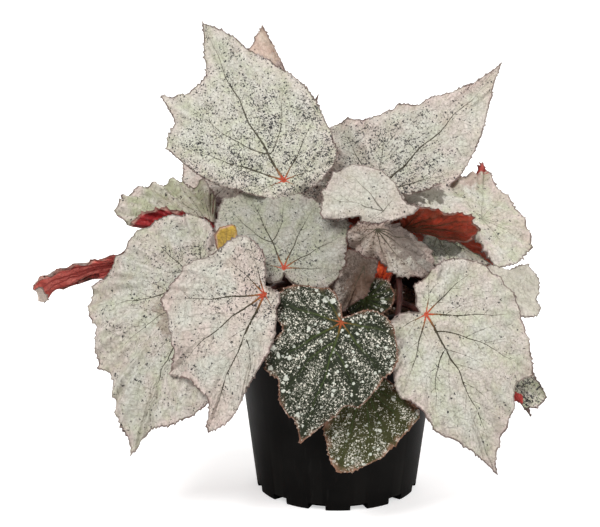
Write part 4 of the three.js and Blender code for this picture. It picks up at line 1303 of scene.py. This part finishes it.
def pot_plastic(settings):
    """Satin black injection-moulded plastic with a fine grain, faint dust and rubbed edges."""
    finish = Finish("pot_plastic", 0.03)
    where = finish.where()
    film = finish.clouds(where, 22.0, 4.0)
    scuffs = finish.ranged(finish.clouds(finish.drawn_out(where, 1.0, 1.0, 0.06), 420.0), 0.62, 0.75)
    finish.start(finish.ranged(film, 0.35, 0.7), settings.colour, (0.009, 0.0085, 0.008))
    finish.coat(scuffs, (0.03, 0.028, 0.027), 0.15)
    worn = finish.add("ShaderNodeNewGeometry").outputs["Pointiness"]
    finish.coat(finish.ranged(worn, 0.53, 0.6, 0.0, 0.4), (0.035, 0.033, 0.03))
    rough = (settings.roughness - 0.06, settings.roughness + 0.06)
    return finish.done(finish.clouds(where, 1500.0), 0.00006, film, rough, (0.3, 0.7))


def studio_paper(glow):
    """The pale floor: even paper with a hardly visible mottle, whiter to the camera than to the plant."""
    finish = Finish("studio_paper", 0.1, Roughness=0.9)
    fill(finish.shader.inputs["Emission Color"], (1.0, 1.0, 1.0))
    seen = finish.add("ShaderNodeLightPath").outputs["Is Camera Ray"]
    mottle = finish.clouds(finish.where(), 6.0)
    finish.link(
        Base_Color=finish.mix(mottle, (0.7, 0.7, 0.7), (0.73, 0.73, 0.73)),
        Emission_Strength=finish.times(seen, glow),
    )
    return finish.material


# ---- Geometry node trees ----

HAIR_INPUTS = {"Length": 0.001, "Thickness": 0.0001, "Lean": 0.3, "Seed": 1, "Material": "Material"}


class Repeats(NewTree):
    """A modifier tree with named inputs and one geometry in and out."""

    def __init__(self, name, inputs):
        super().__init__(name, {"Geometry": "Geometry", **inputs}, "GeometryNodeTree")
        self.tree.is_modifier = True

    def set_on(self, points, instance, turn, scale=None):
        """An instance on each point."""
        values = {"Points": points, "Instance": instance, "Rotation": turn}
        if scale is not None:
            values["Scale"] = scale
        return self.get("GeometryNodeInstanceOnPoints", values)

    def end(self, instances):
        """Makes the instances real and gives them the tree's material."""
        real = self.get("GeometryNodeRealizeInstances", {"Geometry": instances})
        values = {"Geometry": real, "Material": self.given["Material"]}
        self.give(Geometry=self.get("GeometryNodeSetMaterial", values))
        return self.tree

    def strewn(self, density, **more):
        """Random points on the geometry's faces."""
        values = {"Mesh": self.given["Geometry"], "Density": density, "Seed": self.given["Seed"], **more}
        return self.add("GeometryNodeDistributePointsOnFaces", values).outputs

    def random_vector(self, low, high):
        values = {0: (low,) * 3, 1: (high,) * 3, "Seed": self.given["Seed"]}
        return self.get("FunctionNodeRandomValue", values, data_type="FLOAT_VECTOR")

    def random_size(self, low, high, seed):
        values = {2: low, 3: high, "Seed": seed}
        return self.add("FunctionNodeRandomValue", values, data_type="FLOAT").outputs[1]

    def stand_hairs(self, points, out):
        """Stands a tapered hair on each point, pointing out with a random lean."""
        given = self.given
        values = {
            "Vertices": 4, "Radius Top": 0.0, "Radius Bottom": given["Thickness"], "Depth": given["Length"],
        }
        hair = self.get("GeometryNodeMeshCone", values, fill_type="NGON")
        spread = self.get("ShaderNodeCombineXYZ", {axis: given["Lean"] for axis in range(3)})
        leant = self.vector("MULTIPLY_ADD", self.random_vector(-1, 1), spread, out)
        turn = self.get("FunctionNodeAlignRotationToVector", {"Vector": leant}, axis="Z")
        return self.end(self.set_on(points, hair, turn, self.random_size(0.55, 1.25, 3)))


def margin_bristle_tree():
    """One bristle on each point, along the point's own outward layer."""
    tree = Repeats("Margin bristles", HAIR_INPUTS)
    points = tree.get("GeometryNodeMeshToPoints", {"Mesh": tree.given["Geometry"]})
    out = tree.get("GeometryNodeInputNamedAttribute", {"Name": "outward"}, data_type="FLOAT_VECTOR")
    return tree.stand_hairs(points, out)


def stalk_hair_tree():
    """Hairs strewn over a surface, standing out from it."""
    tree = Repeats("Stalk hairs", {"Hairs per square metre": 1e5, **HAIR_INPUTS})
    strewn = tree.strewn(tree.given["Hairs per square metre"])
    return tree.stand_hairs(strewn["Points"], strewn["Normal"])


def crumb_tree():
    """Rounded or flat crumbs strewn on the soil and turned at random."""
    tree = Repeats("Potting mix crumbs", {
        "Crumbs per square metre": 1e4, "Size": 0.003, "Flatness": 0.5, "Seed": 1, "Material": "Material",
    })
    given = tree.given
    height = tree.add("ShaderNodeSeparateXYZ", {0: tree.get("GeometryNodeInputNormal")}).outputs[2]
    upper = tree.get(
        "FunctionNodeCompare", {0: height, 1: 0.5}, data_type="FLOAT", operation="GREATER_THAN"
    )
    strewn = tree.strewn(given["Crumbs per square metre"], Selection=upper)
    ball = tree.get("GeometryNodeMeshIcoSphere", {"Radius": given["Size"], "Subdivisions": 2})
    wobble = tree.noise(tree.get("GeometryNodeInputPosition"), 330.0)[1]
    push = tree.vector("SCALE", tree.vector("SUBTRACT", wobble, (0.5, 0.5, 0.5)), scale=given["Size"])
    lumpy = tree.get("GeometryNodeSetPosition", {"Geometry": ball, "Offset": push})
    flat = tree.get("ShaderNodeCombineXYZ", {0: 1.0, 1: 0.7, 2: given["Flatness"]})
    shape = tree.vector("SCALE", flat, scale=tree.random_size(0.4, 1.3, given["Seed"]))
    return tree.end(tree.set_on(strewn["Points"], lumpy, tree.random_vector(0, 6.3), shape))


def foot_notch_tree():
    """Cuts pockets and drain holes round the pot's foot: each shape is turned round the axis and used."""
    shapes = {"Pocket": "UNION", "Notch": "DIFFERENCE", "Drain": "DIFFERENCE"}
    kinds = dict.fromkeys(shapes, "Object")
    tree = Repeats("Foot notches", {"Count": 12, **kinds, "Material": "Material"})
    count, pot = tree.given["Count"], tree.given["Geometry"]
    line = tree.get("GeometryNodeMeshLine", {"Count": count, "Offset": (0.0, 0.0, 0.0)})
    index = tree.get("GeometryNodeInputIndex")
    share = tree.calc("DIVIDE", tree.calc("ADD", index, 0.5), count)
    turn = tree.get("ShaderNodeCombineXYZ", {2: tree.times(share, TURN)})
    for title, operation in shapes.items():
        shape = tree.add("GeometryNodeObjectInfo", {"Object": tree.given[title]}).outputs["Geometry"]
        ring = tree.set_on(line, shape, turn)
        ring = tree.get("GeometryNodeRealizeInstances", {"Geometry": ring})
        cut = tree.add("GeometryNodeMeshBoolean", {"Mesh 2": ring}, operation=operation)
        tree.tree.links.new(pot, cut.inputs["Mesh 2" if operation == "UNION" else "Mesh 1"])
        pot = cut.outputs[0]
    return tree.end(pot)


def made_by(tree, carrier, name, values):
    """Runs a geometry tree on a carrier object, and leaves only the plain mesh it makes."""
    modifier = carrier.modifiers.new(name, "NODES")
    modifier.node_group = tree
    for item in tree.interface.items_tree:
        if item.item_type == "SOCKET" and item.in_out == "INPUT" and item.name in values:
            modifier[item.identifier] = values[item.name]
    depsgraph = bpy.context.evaluated_depsgraph_get()
    mesh = bpy.data.meshes.new_from_object(carrier.evaluated_get(depsgraph), depsgraph=depsgraph)
    carrier.modifiers.remove(modifier)
    old = carrier.data
    bpy.data.objects.remove(carrier)
    bpy.data.meshes.remove(old)
    if not mesh.polygons:
        raise RuntimeError(f"the {name} tree made nothing")
    mesh.name = name
    return show(name, mesh)


# ---- Sizes and colours that a user would change ----


def amount(name, description, default, **more):
    return FloatProperty(name=name, description=description, default=default, **more)


def length(name, description, default):
    return amount(name, description, default, unit="LENGTH", precision=4)


def tint(name, description, default):
    return FloatVectorProperty(name=name, description=description, default=default, subtype="COLOR")


class PotSettings(bpy.types.PropertyGroup):
    foot_radius: length("Foot radius", "Outside radius where the pot stands", 0.055)
    neck_radius: length("Neck radius", "Outside radius under the lip", 0.0717)
    lip_radius: length("Lip radius", "Outside radius of the lip", round(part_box("pot")[1].x, 4))
    height: length("Height", "From the foot to the lip's edge", round(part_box("pot")[1].z, 4))
    wall: length("Wall", "Wall thickness", 0.0016)
    notches: IntProperty(name="Notches", description="Drain notches round the foot", default=12, min=3)
    colour: tint("Colour", "Plastic colour", (0.0045, 0.0042, 0.004))
    roughness: amount("Roughness", "How matt the plastic is", 0.42, subtype="FACTOR")


class SoilSettings(bpy.types.PropertyGroup):
    top: length("Soil height", "Where the soil meets the wall", 0.127)
    chips: amount("Bark chips", "Bark chips per square metre of soil", 30000.0)
    perlite: amount("Perlite", "Perlite grains per square metre of soil", 9000.0)
    rhizome_radius: length("Rhizome radius", "Radius of the creeping stem", 0.0068)


class LeafSettings(bpy.types.PropertyGroup):
    thickness: length("Thickness", "Blade thickness in the middle", 0.0007)
    puff: length("Puff", "How far the skin rises between main veins", 0.0026)
    wave: length("Wave", "How far the blade waves towards its margin", 0.0023)
    ruffle: length("Ruffle", "How far the margin's pleats rise", 0.0008)
    tooth_spacing: length("Tooth spacing", "Between the margin's teeth", 0.0032)
    tooth_height: length("Tooth height", "Height of a tooth", 0.001)
    vein_width: length("Vein width", "Main vein's width at the stalk point", 0.0023)
    silver: tint("Silver", "Skin colour", (0.575, 0.57, 0.513))
    pink: tint("Pink", "Pink tint of silver skin", (0.62, 0.5, 0.465))
    green: tint("Green", "Green tint of silver skin", (0.47, 0.5, 0.345))
    margin: tint("Margin", "Line round a silver blade", (0.055, 0.02, 0.015))
    dark: tint("Dark", "Skin of the dark leaves", (0.018, 0.022, 0.013))


class StalkSettings(bpy.types.PropertyGroup):
    foot_radius: length("Foot radius", "Petiole radius at its foot", 0.0027)
    top_radius: length("Top radius", "Petiole radius at the blade", 0.0017)
    hair_length: length("Hair length", "Petiole hair length", 0.0022)
    hairs: amount("Hairs", "Hairs per square metre of skin", 260000.0)
    bristle_length: length("Bristle length", "Length of the margin's bristles", 0.0008)


class StageSettings(bpy.types.PropertyGroup):
    lens: amount("Lens", "Focal length in mm on a sensor 36 mm wide", 128.7)
    pitch: amount("Pitch", "How far down the camera looks", math.radians(15.4), subtype="ANGLE")
    daylight: amount("Daylight", "Brightness of the white surroundings", 0.62)
    floor_glow: amount("Floor glow", "How much whiter the floor is to the camera", 0.55)
    key: amount("Key light", "Power of the main light", 40.0, unit="POWER")
    fill: amount("Fill light", "Power of the side and rear lights", 13.0, unit="POWER")


SETTINGS = {
    "begonia_pot": PotSettings,
    "begonia_soil": SoilSettings,
    "begonia_leaves": LeafSettings,
    "begonia_stalks": StalkSettings,
    "begonia_stage": StageSettings,
}

# ---- Operators ----

# The first seed of each group's random draws
SEEDS = {"soil": 5, "rhizome": 60, "stalks": 200, "leaves": 300}
# The pot, in mm and degrees
NOTCH_ANGLE = 12.5
NOTCH_HEIGHT = 4.5
NOTCH_DEPTH = 8
POT_FLOOR = 2
LIP_HEIGHT = 8
CORNER_RADIUS = 0.9
DRAIN_RADIUS = 2
LIP_STEP = 0.8  # the lip is this much thinner inside than the wall
POT_SIDES = 192
SHARP_ANGLE = 32
# The soil, in mm
SOIL_GAP = 0.25  # between it and the pot's wall
SOIL_CLEARANCE = 0.3  # over the pot's floor and its pockets
SOIL_CROWN = 2  # how much higher it stands in the middle
SOIL_SIDES = 180
SOIL_LUMPS = ((1.3, 17), (0.7, 6), (0.35, 2.6))  # how high, and how far apart
# The rhizome's arms from the crown: the middle and the end of each, mm
RHIZOME_ARMS = (
    ((-18, -12), (-37, -18)), ((-2, -13), (-1, -27)), ((14, -15), (27, -31)),
    ((-15, 13), (-32, 24)), ((2, 13), (0, 26)), ((17, 9), (36, 16)),
)
SCAR_SPACING = 5.2  # mm between its ring scars
# The petioles: how much thicker they are at either end, and over what part of their length
TOP_SWELLING = (0.18, 0.04)
FOOT_SWELLING = (0.3, 0.05)
DOME = 1.6  # mm over which a petiole closes under its blade
# The stage, in metres
FLOOR_REACH = 7
CAMERA_PLACE = (-0.0254, -1.3985, 0.5424)
PLANT_MIDDLE = Vector((0.0, 0.0, 0.17))
LAMPS = (  # the name, the setting that gives its power, its place and how wide it is
    ("key", "key", (-0.75, -1.15, 1.7), 0.9),
    ("fill", "fill", (1.5, -0.35, 0.6), 0.9),
    ("rear", "fill", (0.2, 1.3, 1.5), 1.0),
)
# Light and dark tones of what lies in the soil
BARK = ((0.14, 0.075, 0.04), (0.03, 0.016, 0.01))
PERLITE = ((0.78, 0.76, 0.7), (0.55, 0.52, 0.46))


class BegoniaOperator(bpy.types.Operator):
    """What the begonia's operators share."""

    bl_options = {"REGISTER", "UNDO"}


class BEGONIA_OT_looks(BegoniaOperator):
    """Build the shader groups that the begonia's materials share"""

    bl_idname = "begonia.looks"
    bl_label = "Shared looks"

    def execute(self, context):
        make_speck_field()
        make_worm_field()
        make_living_grain()
        make_veins_and_margin()
        return {"FINISHED"}


def rounded(corners, radius, steps=4):
    """A profile whose inner corners are rounded with small arcs."""
    corners = [np.array(corner, float) for corner in corners]
    profile = [tuple(corners[0])]
    for before, corner, after in zip(corners, corners[1:], corners[2:]):
        back, ahead = before - corner, after - corner
        room = min(radius, np.linalg.norm(back) / 2.2, np.linalg.norm(ahead) / 2.2)
        start, end = corner + unit(back) * room, corner + unit(ahead) * room
        for t in np.linspace(0, 1, steps):
            profile.append(tuple(start * (1 - t) ** 2 + 2 * corner * t * (1 - t) + end * t * t))
    return [*profile, tuple(corners[-1])]


def wedge(inner, outer, angle, bottom, top):
    """A block that spans an angle round +X, between two radii and two heights."""
    turn = np.radians(np.linspace(-angle / 2, angle / 2, 7))
    arcs = [np.column_stack([r * np.cos(turn), r * np.sin(turn)]) for r in (inner, outer)]
    loop = np.concatenate([arcs[1], arcs[0][::-1]])
    count = len(loop)
    points = np.concatenate([np.column_stack([loop, np.full(count, z)]) for z in (bottom, top)])
    faces = grid_faces(2, count) + [tuple(range(count))[::-1], tuple(range(count, 2 * count))]
    return points, faces


class BEGONIA_OT_pot(BegoniaOperator):
    """Make the nursery pot with its lip, foot notches and drain holes"""

    bl_idname = "begonia.pot"
    bl_label = "Pot"

    def execute(self, context):
        given = context.scene.begonia_pot
        foot, neck, lip = (size / MM for size in (given.foot_radius, given.neck_radius, given.lip_radius))
        height, wall = given.height / MM, given.wall / MM
        inside, under_lip = neck - wall, height - LIP_HEIGHT
        floor_edge = foot + (neck - foot) * POT_FLOOR / under_lip - wall
        corners = [
            (0, 0), (foot, 0), (neck, under_lip), (lip, under_lip), (lip, height),
            (inside + LIP_STEP, height), (inside, under_lip), (floor_edge, POT_FLOOR), (0, POT_FLOOR),
        ]
        material = pot_plastic(given)
        body = Shell(*turned(rounded(corners, CORNER_RADIUS), POT_SIDES)).piece("pot_body", material)
        roof = NOTCH_HEIGHT + wall
        drain, faces = turned([(0, 1), (DRAIN_RADIUS, 1), (DRAIN_RADIUS, roof + 4), (0, roof + 4)], 24)
        inner = foot - NOTCH_DEPTH
        tools = {
            "Pocket": wedge(inner - wall, foot - wall / 2, NOTCH_ANGLE + 4, POT_FLOOR / 2, roof),
            "Notch": wedge(inner, foot + NOTCH_DEPTH, NOTCH_ANGLE, -POT_FLOOR, NOTCH_HEIGHT),
            "Drain": (drain + np.array([foot - NOTCH_DEPTH * 0.6, 0, 0]), faces),
        }
        cutters = {title: Shell(*tool).piece("cutter_" + title) for title, tool in tools.items()}
        values = {"Count": given.notches, "Material": material, **cutters}
        pot = made_by(foot_notch_tree(), body, "nursery_pot", values)
        for cutter in cutters.values():
            bpy.data.objects.remove(cutter)
        pot.data.polygons.foreach_set("use_smooth", [True] * len(pot.data.polygons))
        pot.data.set_sharp_from_angle(angle=math.radians(SHARP_ANGLE))
        claim(pot, "pot_plastic", "pot")
        return {"FINISHED"}


class BEGONIA_OT_soil(BegoniaOperator):
    """Make the potting mix with its bark chips and perlite"""

    bl_idname = "begonia.soil"
    bl_label = "Soil"

    def execute(self, context):
        pot, given = context.scene.begonia_pot, context.scene.begonia_soil
        foot, neck, wall = pot.foot_radius / MM, pot.neck_radius / MM, pot.wall / MM
        under_lip, top = pot.height / MM - LIP_HEIGHT, given.top / MM

        def outer(z):
            return foot + (neck - foot) * z / under_lip - wall - SOIL_GAP

        shelf, low = NOTCH_HEIGHT + wall + SOIL_CLEARANCE, POT_FLOOR + SOIL_CLEARANCE
        core = foot - NOTCH_DEPTH - wall - 0.7
        crown = [(outer(top) * part, top + SOIL_CROWN * (1 - part**2)) for part in np.linspace(1, 0.02, 42)]
        profile = [
            (0, low), (core, low), (core, shelf), (outer(shelf), shelf), (outer(top - 1), top - 1),
            *crown, (0, top + SOIL_CROWN),
        ]
        points, faces = turned(profile, SOIL_SIDES)
        chance = np.random.default_rng(SEEDS["soil"])
        loose = points[:, 2] > top - 0.5
        inner = eased(np.hypot(points[:, 0], points[:, 1]), outer(top), outer(top) - 4)
        lumps = sum(rise * ripple(points, chance, wavelength) for rise, wavelength in SOIL_LUMPS)
        points[:, 2] += np.where(loose, lumps * (0.3 + 0.7 * inner), 0)
        soil = Shell(points, faces).piece("soil_heap", soil_crumb())
        tree = crumb_tree()
        kinds = (
            ("bark_chips", given.chips, 0.0026, 0.35, 11, chip_material("bark_chip", *BARK, 0.8)),
            ("perlite_grains", given.perlite, 0.0014, 0.8, 23, chip_material("perlite", *PERLITE, 0.85)),
        )
        for name, density, size, flatness, seed, material in kinds:
            carrier = show("carrier_" + name, soil.data.copy())
            values = {
                "Crumbs per square metre": density, "Size": size, "Flatness": flatness, "Seed": seed,
                "Material": material,
            }
            claim(made_by(tree, carrier, name, values), "potting_soil")
        claim(soil, "potting_soil", "soil")
        return {"FINISHED"}


class BEGONIA_OT_rhizome(BegoniaOperator):
    """Make the creeping stem that all petioles grow from"""

    bl_idname = "begonia.rhizome"
    bl_label = "Rhizome"

    def execute(self, context):
        radius = context.scene.begonia_soil.rhizome_radius / MM
        cap, sides = np.linspace(0.1, 0.97, 12), 28  # an arm ends in a dome of twelve rings
        stem = Shell()
        for number, (middle, end) in enumerate(RHIZOME_ARMS):
            chance = np.random.default_rng(SEEDS["rhizome"] + number)
            middle, end = np.array([*middle, 0.0]), np.array([*end, 0.0])
            t = np.linspace(0, 1, 64)[:, None]
            pull = 2 * middle - end / 2  # a curve from the crown through the middle to the end
            route = pull * 2 * t * (1 - t) + end * t**2 + np.array([0, 0, RHIZOME_HEIGHT])
            route = np.concatenate([route, route[-1] + unit(end - pull) * cap[:, None] * radius])
            run = running(route)
            scars = np.abs(np.sin(run * np.pi / SCAR_SPACING + 0.5 * np.sin(run)))
            radii = radius * (0.93 + 0.06 * scars)
            radii[-len(cap):] *= np.sqrt(1 - cap**2)
            points, faces, skin, out = tube(route, radii, sides, radius, 50.0 * number)
            points += unit(out) * 0.35 * ripple(points, chance, 7)[:, None]
            rings = np.append(np.repeat(1 - eased(scars, 0.0, 0.3), sides), (0, 0))
            stem.add(points, faces, skin=skin, ring=rings)
        claim(stem.piece("creeping_stem", rhizome_skin()), "rhizome_bark", "rhizome")
        return {"FINISHED"}


class BEGONIA_OT_stalks(BegoniaOperator):
    """Make the petioles and the hairs on them"""

    bl_idname = "begonia.stalks"
    bl_label = "Stalks"

    def execute(self, context):
        given = context.scene.begonia_stalks
        skin_material = stalk_skin()
        fleece = Shell()
        steps, sides = 46, 16
        for number, (name, leaf) in enumerate(LEAVES.items()):
            chance = np.random.default_rng(SEEDS["stalks"] + number)
            route = petiole_route(leaf, steps)
            t = np.linspace(0, 1, steps)
            slim = min(1.0, 0.62 + max(mm for _, mm in leaf.reach) / 260)
            radii = slim * (given.foot_radius * (1 - t) + given.top_radius * t) / MM
            swellings = ((TOP_SWELLING, t - 1), (FOOT_SWELLING, t))
            radii *= 1 + sum(more * np.exp(-((away / over) ** 2)) for (more, over), away in swellings)
            run = running(route)
            left = (run[-1] - run) / DOME
            radii *= np.sqrt(np.clip(1 - (1 - np.clip(left, 0, 1)) ** 2, 0.02, 1))
            points, faces, skin, out = tube(route, radii, sides, 2.2, 31.0 * number)
            points += out * 0.06 * ripple(points, chance, 9)[:, None]
            stalk = Shell()
            stalk.add(points, faces, skin=skin)
            claim(stalk.piece("stalk_" + name, skin_material), "petiole_skin", "petiole_" + name)
            fleece.add(points, faces)
        values = {
            "Hairs per square metre": given.hairs, "Length": given.hair_length, "Thickness": 0.00009,
            "Lean": 0.35, "Seed": 4, "Material": hair_material("stalk_hair", (0.09, 0.02, 0.015)),
        }
        claim(made_by(stalk_hair_tree(), fleece.piece("fleece"), "stalk_hairs", values), "petiole_skin")
        return {"FINISHED"}


class BEGONIA_OT_leaves(BegoniaOperator):
    """Make the leaf blades with their veins, and the bristles round their margins"""

    bl_idname = "begonia.leaves"
    bl_label = "Leaves"

    def execute(self, context):
        given = context.scene.begonia_leaves
        usual = red_side("red_underside", *USUAL_RED)
        teeth = Shell()
        for number, (name, leaf) in enumerate(LEAVES.items()):
            blade = Blade(leaf, given, SEEDS["leaves"] + number)
            under = red_side("red_" + name, *REDS[name]) if name in REDS else usual
            if name in ONE_COLOUR:
                slot, title, shades = ONE_COLOUR[name]
                upper = under = red_side(title, *shades)
            elif name in DARK_LEAVES:
                slot, upper = "dark_leaf", dark_top(name, given)
            else:
                slot, upper = "silver_leaf", silver_top(name, given)
            claim(blade.shell().piece("blade_" + name, upper, under), slot, "leaf_" + name)
            places, ways = blade.tooth_bristles()
            teeth.add(places, [], outward=ways)
        values = {
            "Length": context.scene.begonia_stalks.bristle_length, "Thickness": 0.00006, "Lean": 0.45,
            "Seed": 9, "Material": hair_material("margin_bristle", (0.16, 0.035, 0.03)),
        }
        bristles = made_by(margin_bristle_tree(), teeth.piece("teeth"), "margin_bristles", values)
        claim(bristles, "petiole_skin")
        return {"FINISHED"}


class BEGONIA_OT_stage(BegoniaOperator):
    """Make the floor, the lights and the camera"""

    bl_idname = "begonia.stage"
    bl_label = "Stage"

    def execute(self, context):
        scene, given = context.scene, context.scene.begonia_stage
        floor = bpy.data.meshes.new("studio_floor")
        corners = [(x * FLOOR_REACH, y * FLOOR_REACH, 0) for x, y in ((-1, -1), (1, -1), (1, 1), (-1, 1))]
        floor.from_pydata(corners, [], [(0, 1, 2, 3)])
        floor.materials.append(studio_paper(given.floor_glow))
        show("studio_floor", floor)
        world = bpy.data.worlds.new("white_room")
        world.use_nodes = True
        ground = world.node_tree.nodes["Background"]
        ground.inputs["Color"].default_value = (1.0, 0.98, 0.95, 1.0)
        ground.inputs["Strength"].default_value = given.daylight
        scene.world = world
        scene.view_settings.view_transform = "Standard"
        for name, power, place, size in LAMPS:
            light = bpy.data.lights.new(name, "AREA")
            light.shape, light.size, light.energy = "DISK", size, getattr(given, power)
            lamp = show(name, light)
            lamp.location = place
            lamp.rotation_euler = (PLANT_MIDDLE - Vector(place)).to_track_quat("-Z", "Y").to_euler()
        lens = bpy.data.cameras.new("camera")
        lens.sensor_width, lens.lens = 36.0, given.lens
        camera = show("camera", lens)
        camera.location = CAMERA_PLACE
        camera.rotation_euler = (math.pi / 2 - given.pitch, 0.0, 0.0)
        scene.camera = camera
        return {"FINISHED"}


OPERATORS = (
    BEGONIA_OT_looks,
    BEGONIA_OT_pot,
    BEGONIA_OT_soil,
    BEGONIA_OT_rhizome,
    BEGONIA_OT_stalks,
    BEGONIA_OT_leaves,
    BEGONIA_OT_stage,
)


class BEGONIA_PT_panel(bpy.types.Panel):
    """Lists the begonia's operators"""

    bl_idname = "BEGONIA_PT_panel"
    bl_label = "Potted rex begonia"
    bl_space_type = "VIEW_3D"
    bl_region_type = "UI"
    bl_category = "Begonia"

    def draw(self, context):
        for operator in OPERATORS:
            self.layout.operator(operator.bl_idname)
        for name, group in SETTINGS.items():
            box = self.layout.box()
            for title in group.__annotations__:
                box.prop(getattr(context.scene, name), title)


CLASSES = (*SETTINGS.values(), *OPERATORS, BEGONIA_PT_panel)


def register():
    for group in CLASSES:
        bpy.utils.register_class(group)
    for name, group in SETTINGS.items():
        setattr(bpy.types.Scene, name, PointerProperty(type=group))


def unregister():
    for name in SETTINGS:
        delattr(bpy.types.Scene, name)
    for group in reversed(CLASSES):
        bpy.utils.unregister_class(group)


def main():
    register()
    for operator in OPERATORS:
        getattr(bpy.ops.begonia, operator.bl_idname.split(".")[1])()
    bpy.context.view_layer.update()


if __name__ == "__main__":
    main()
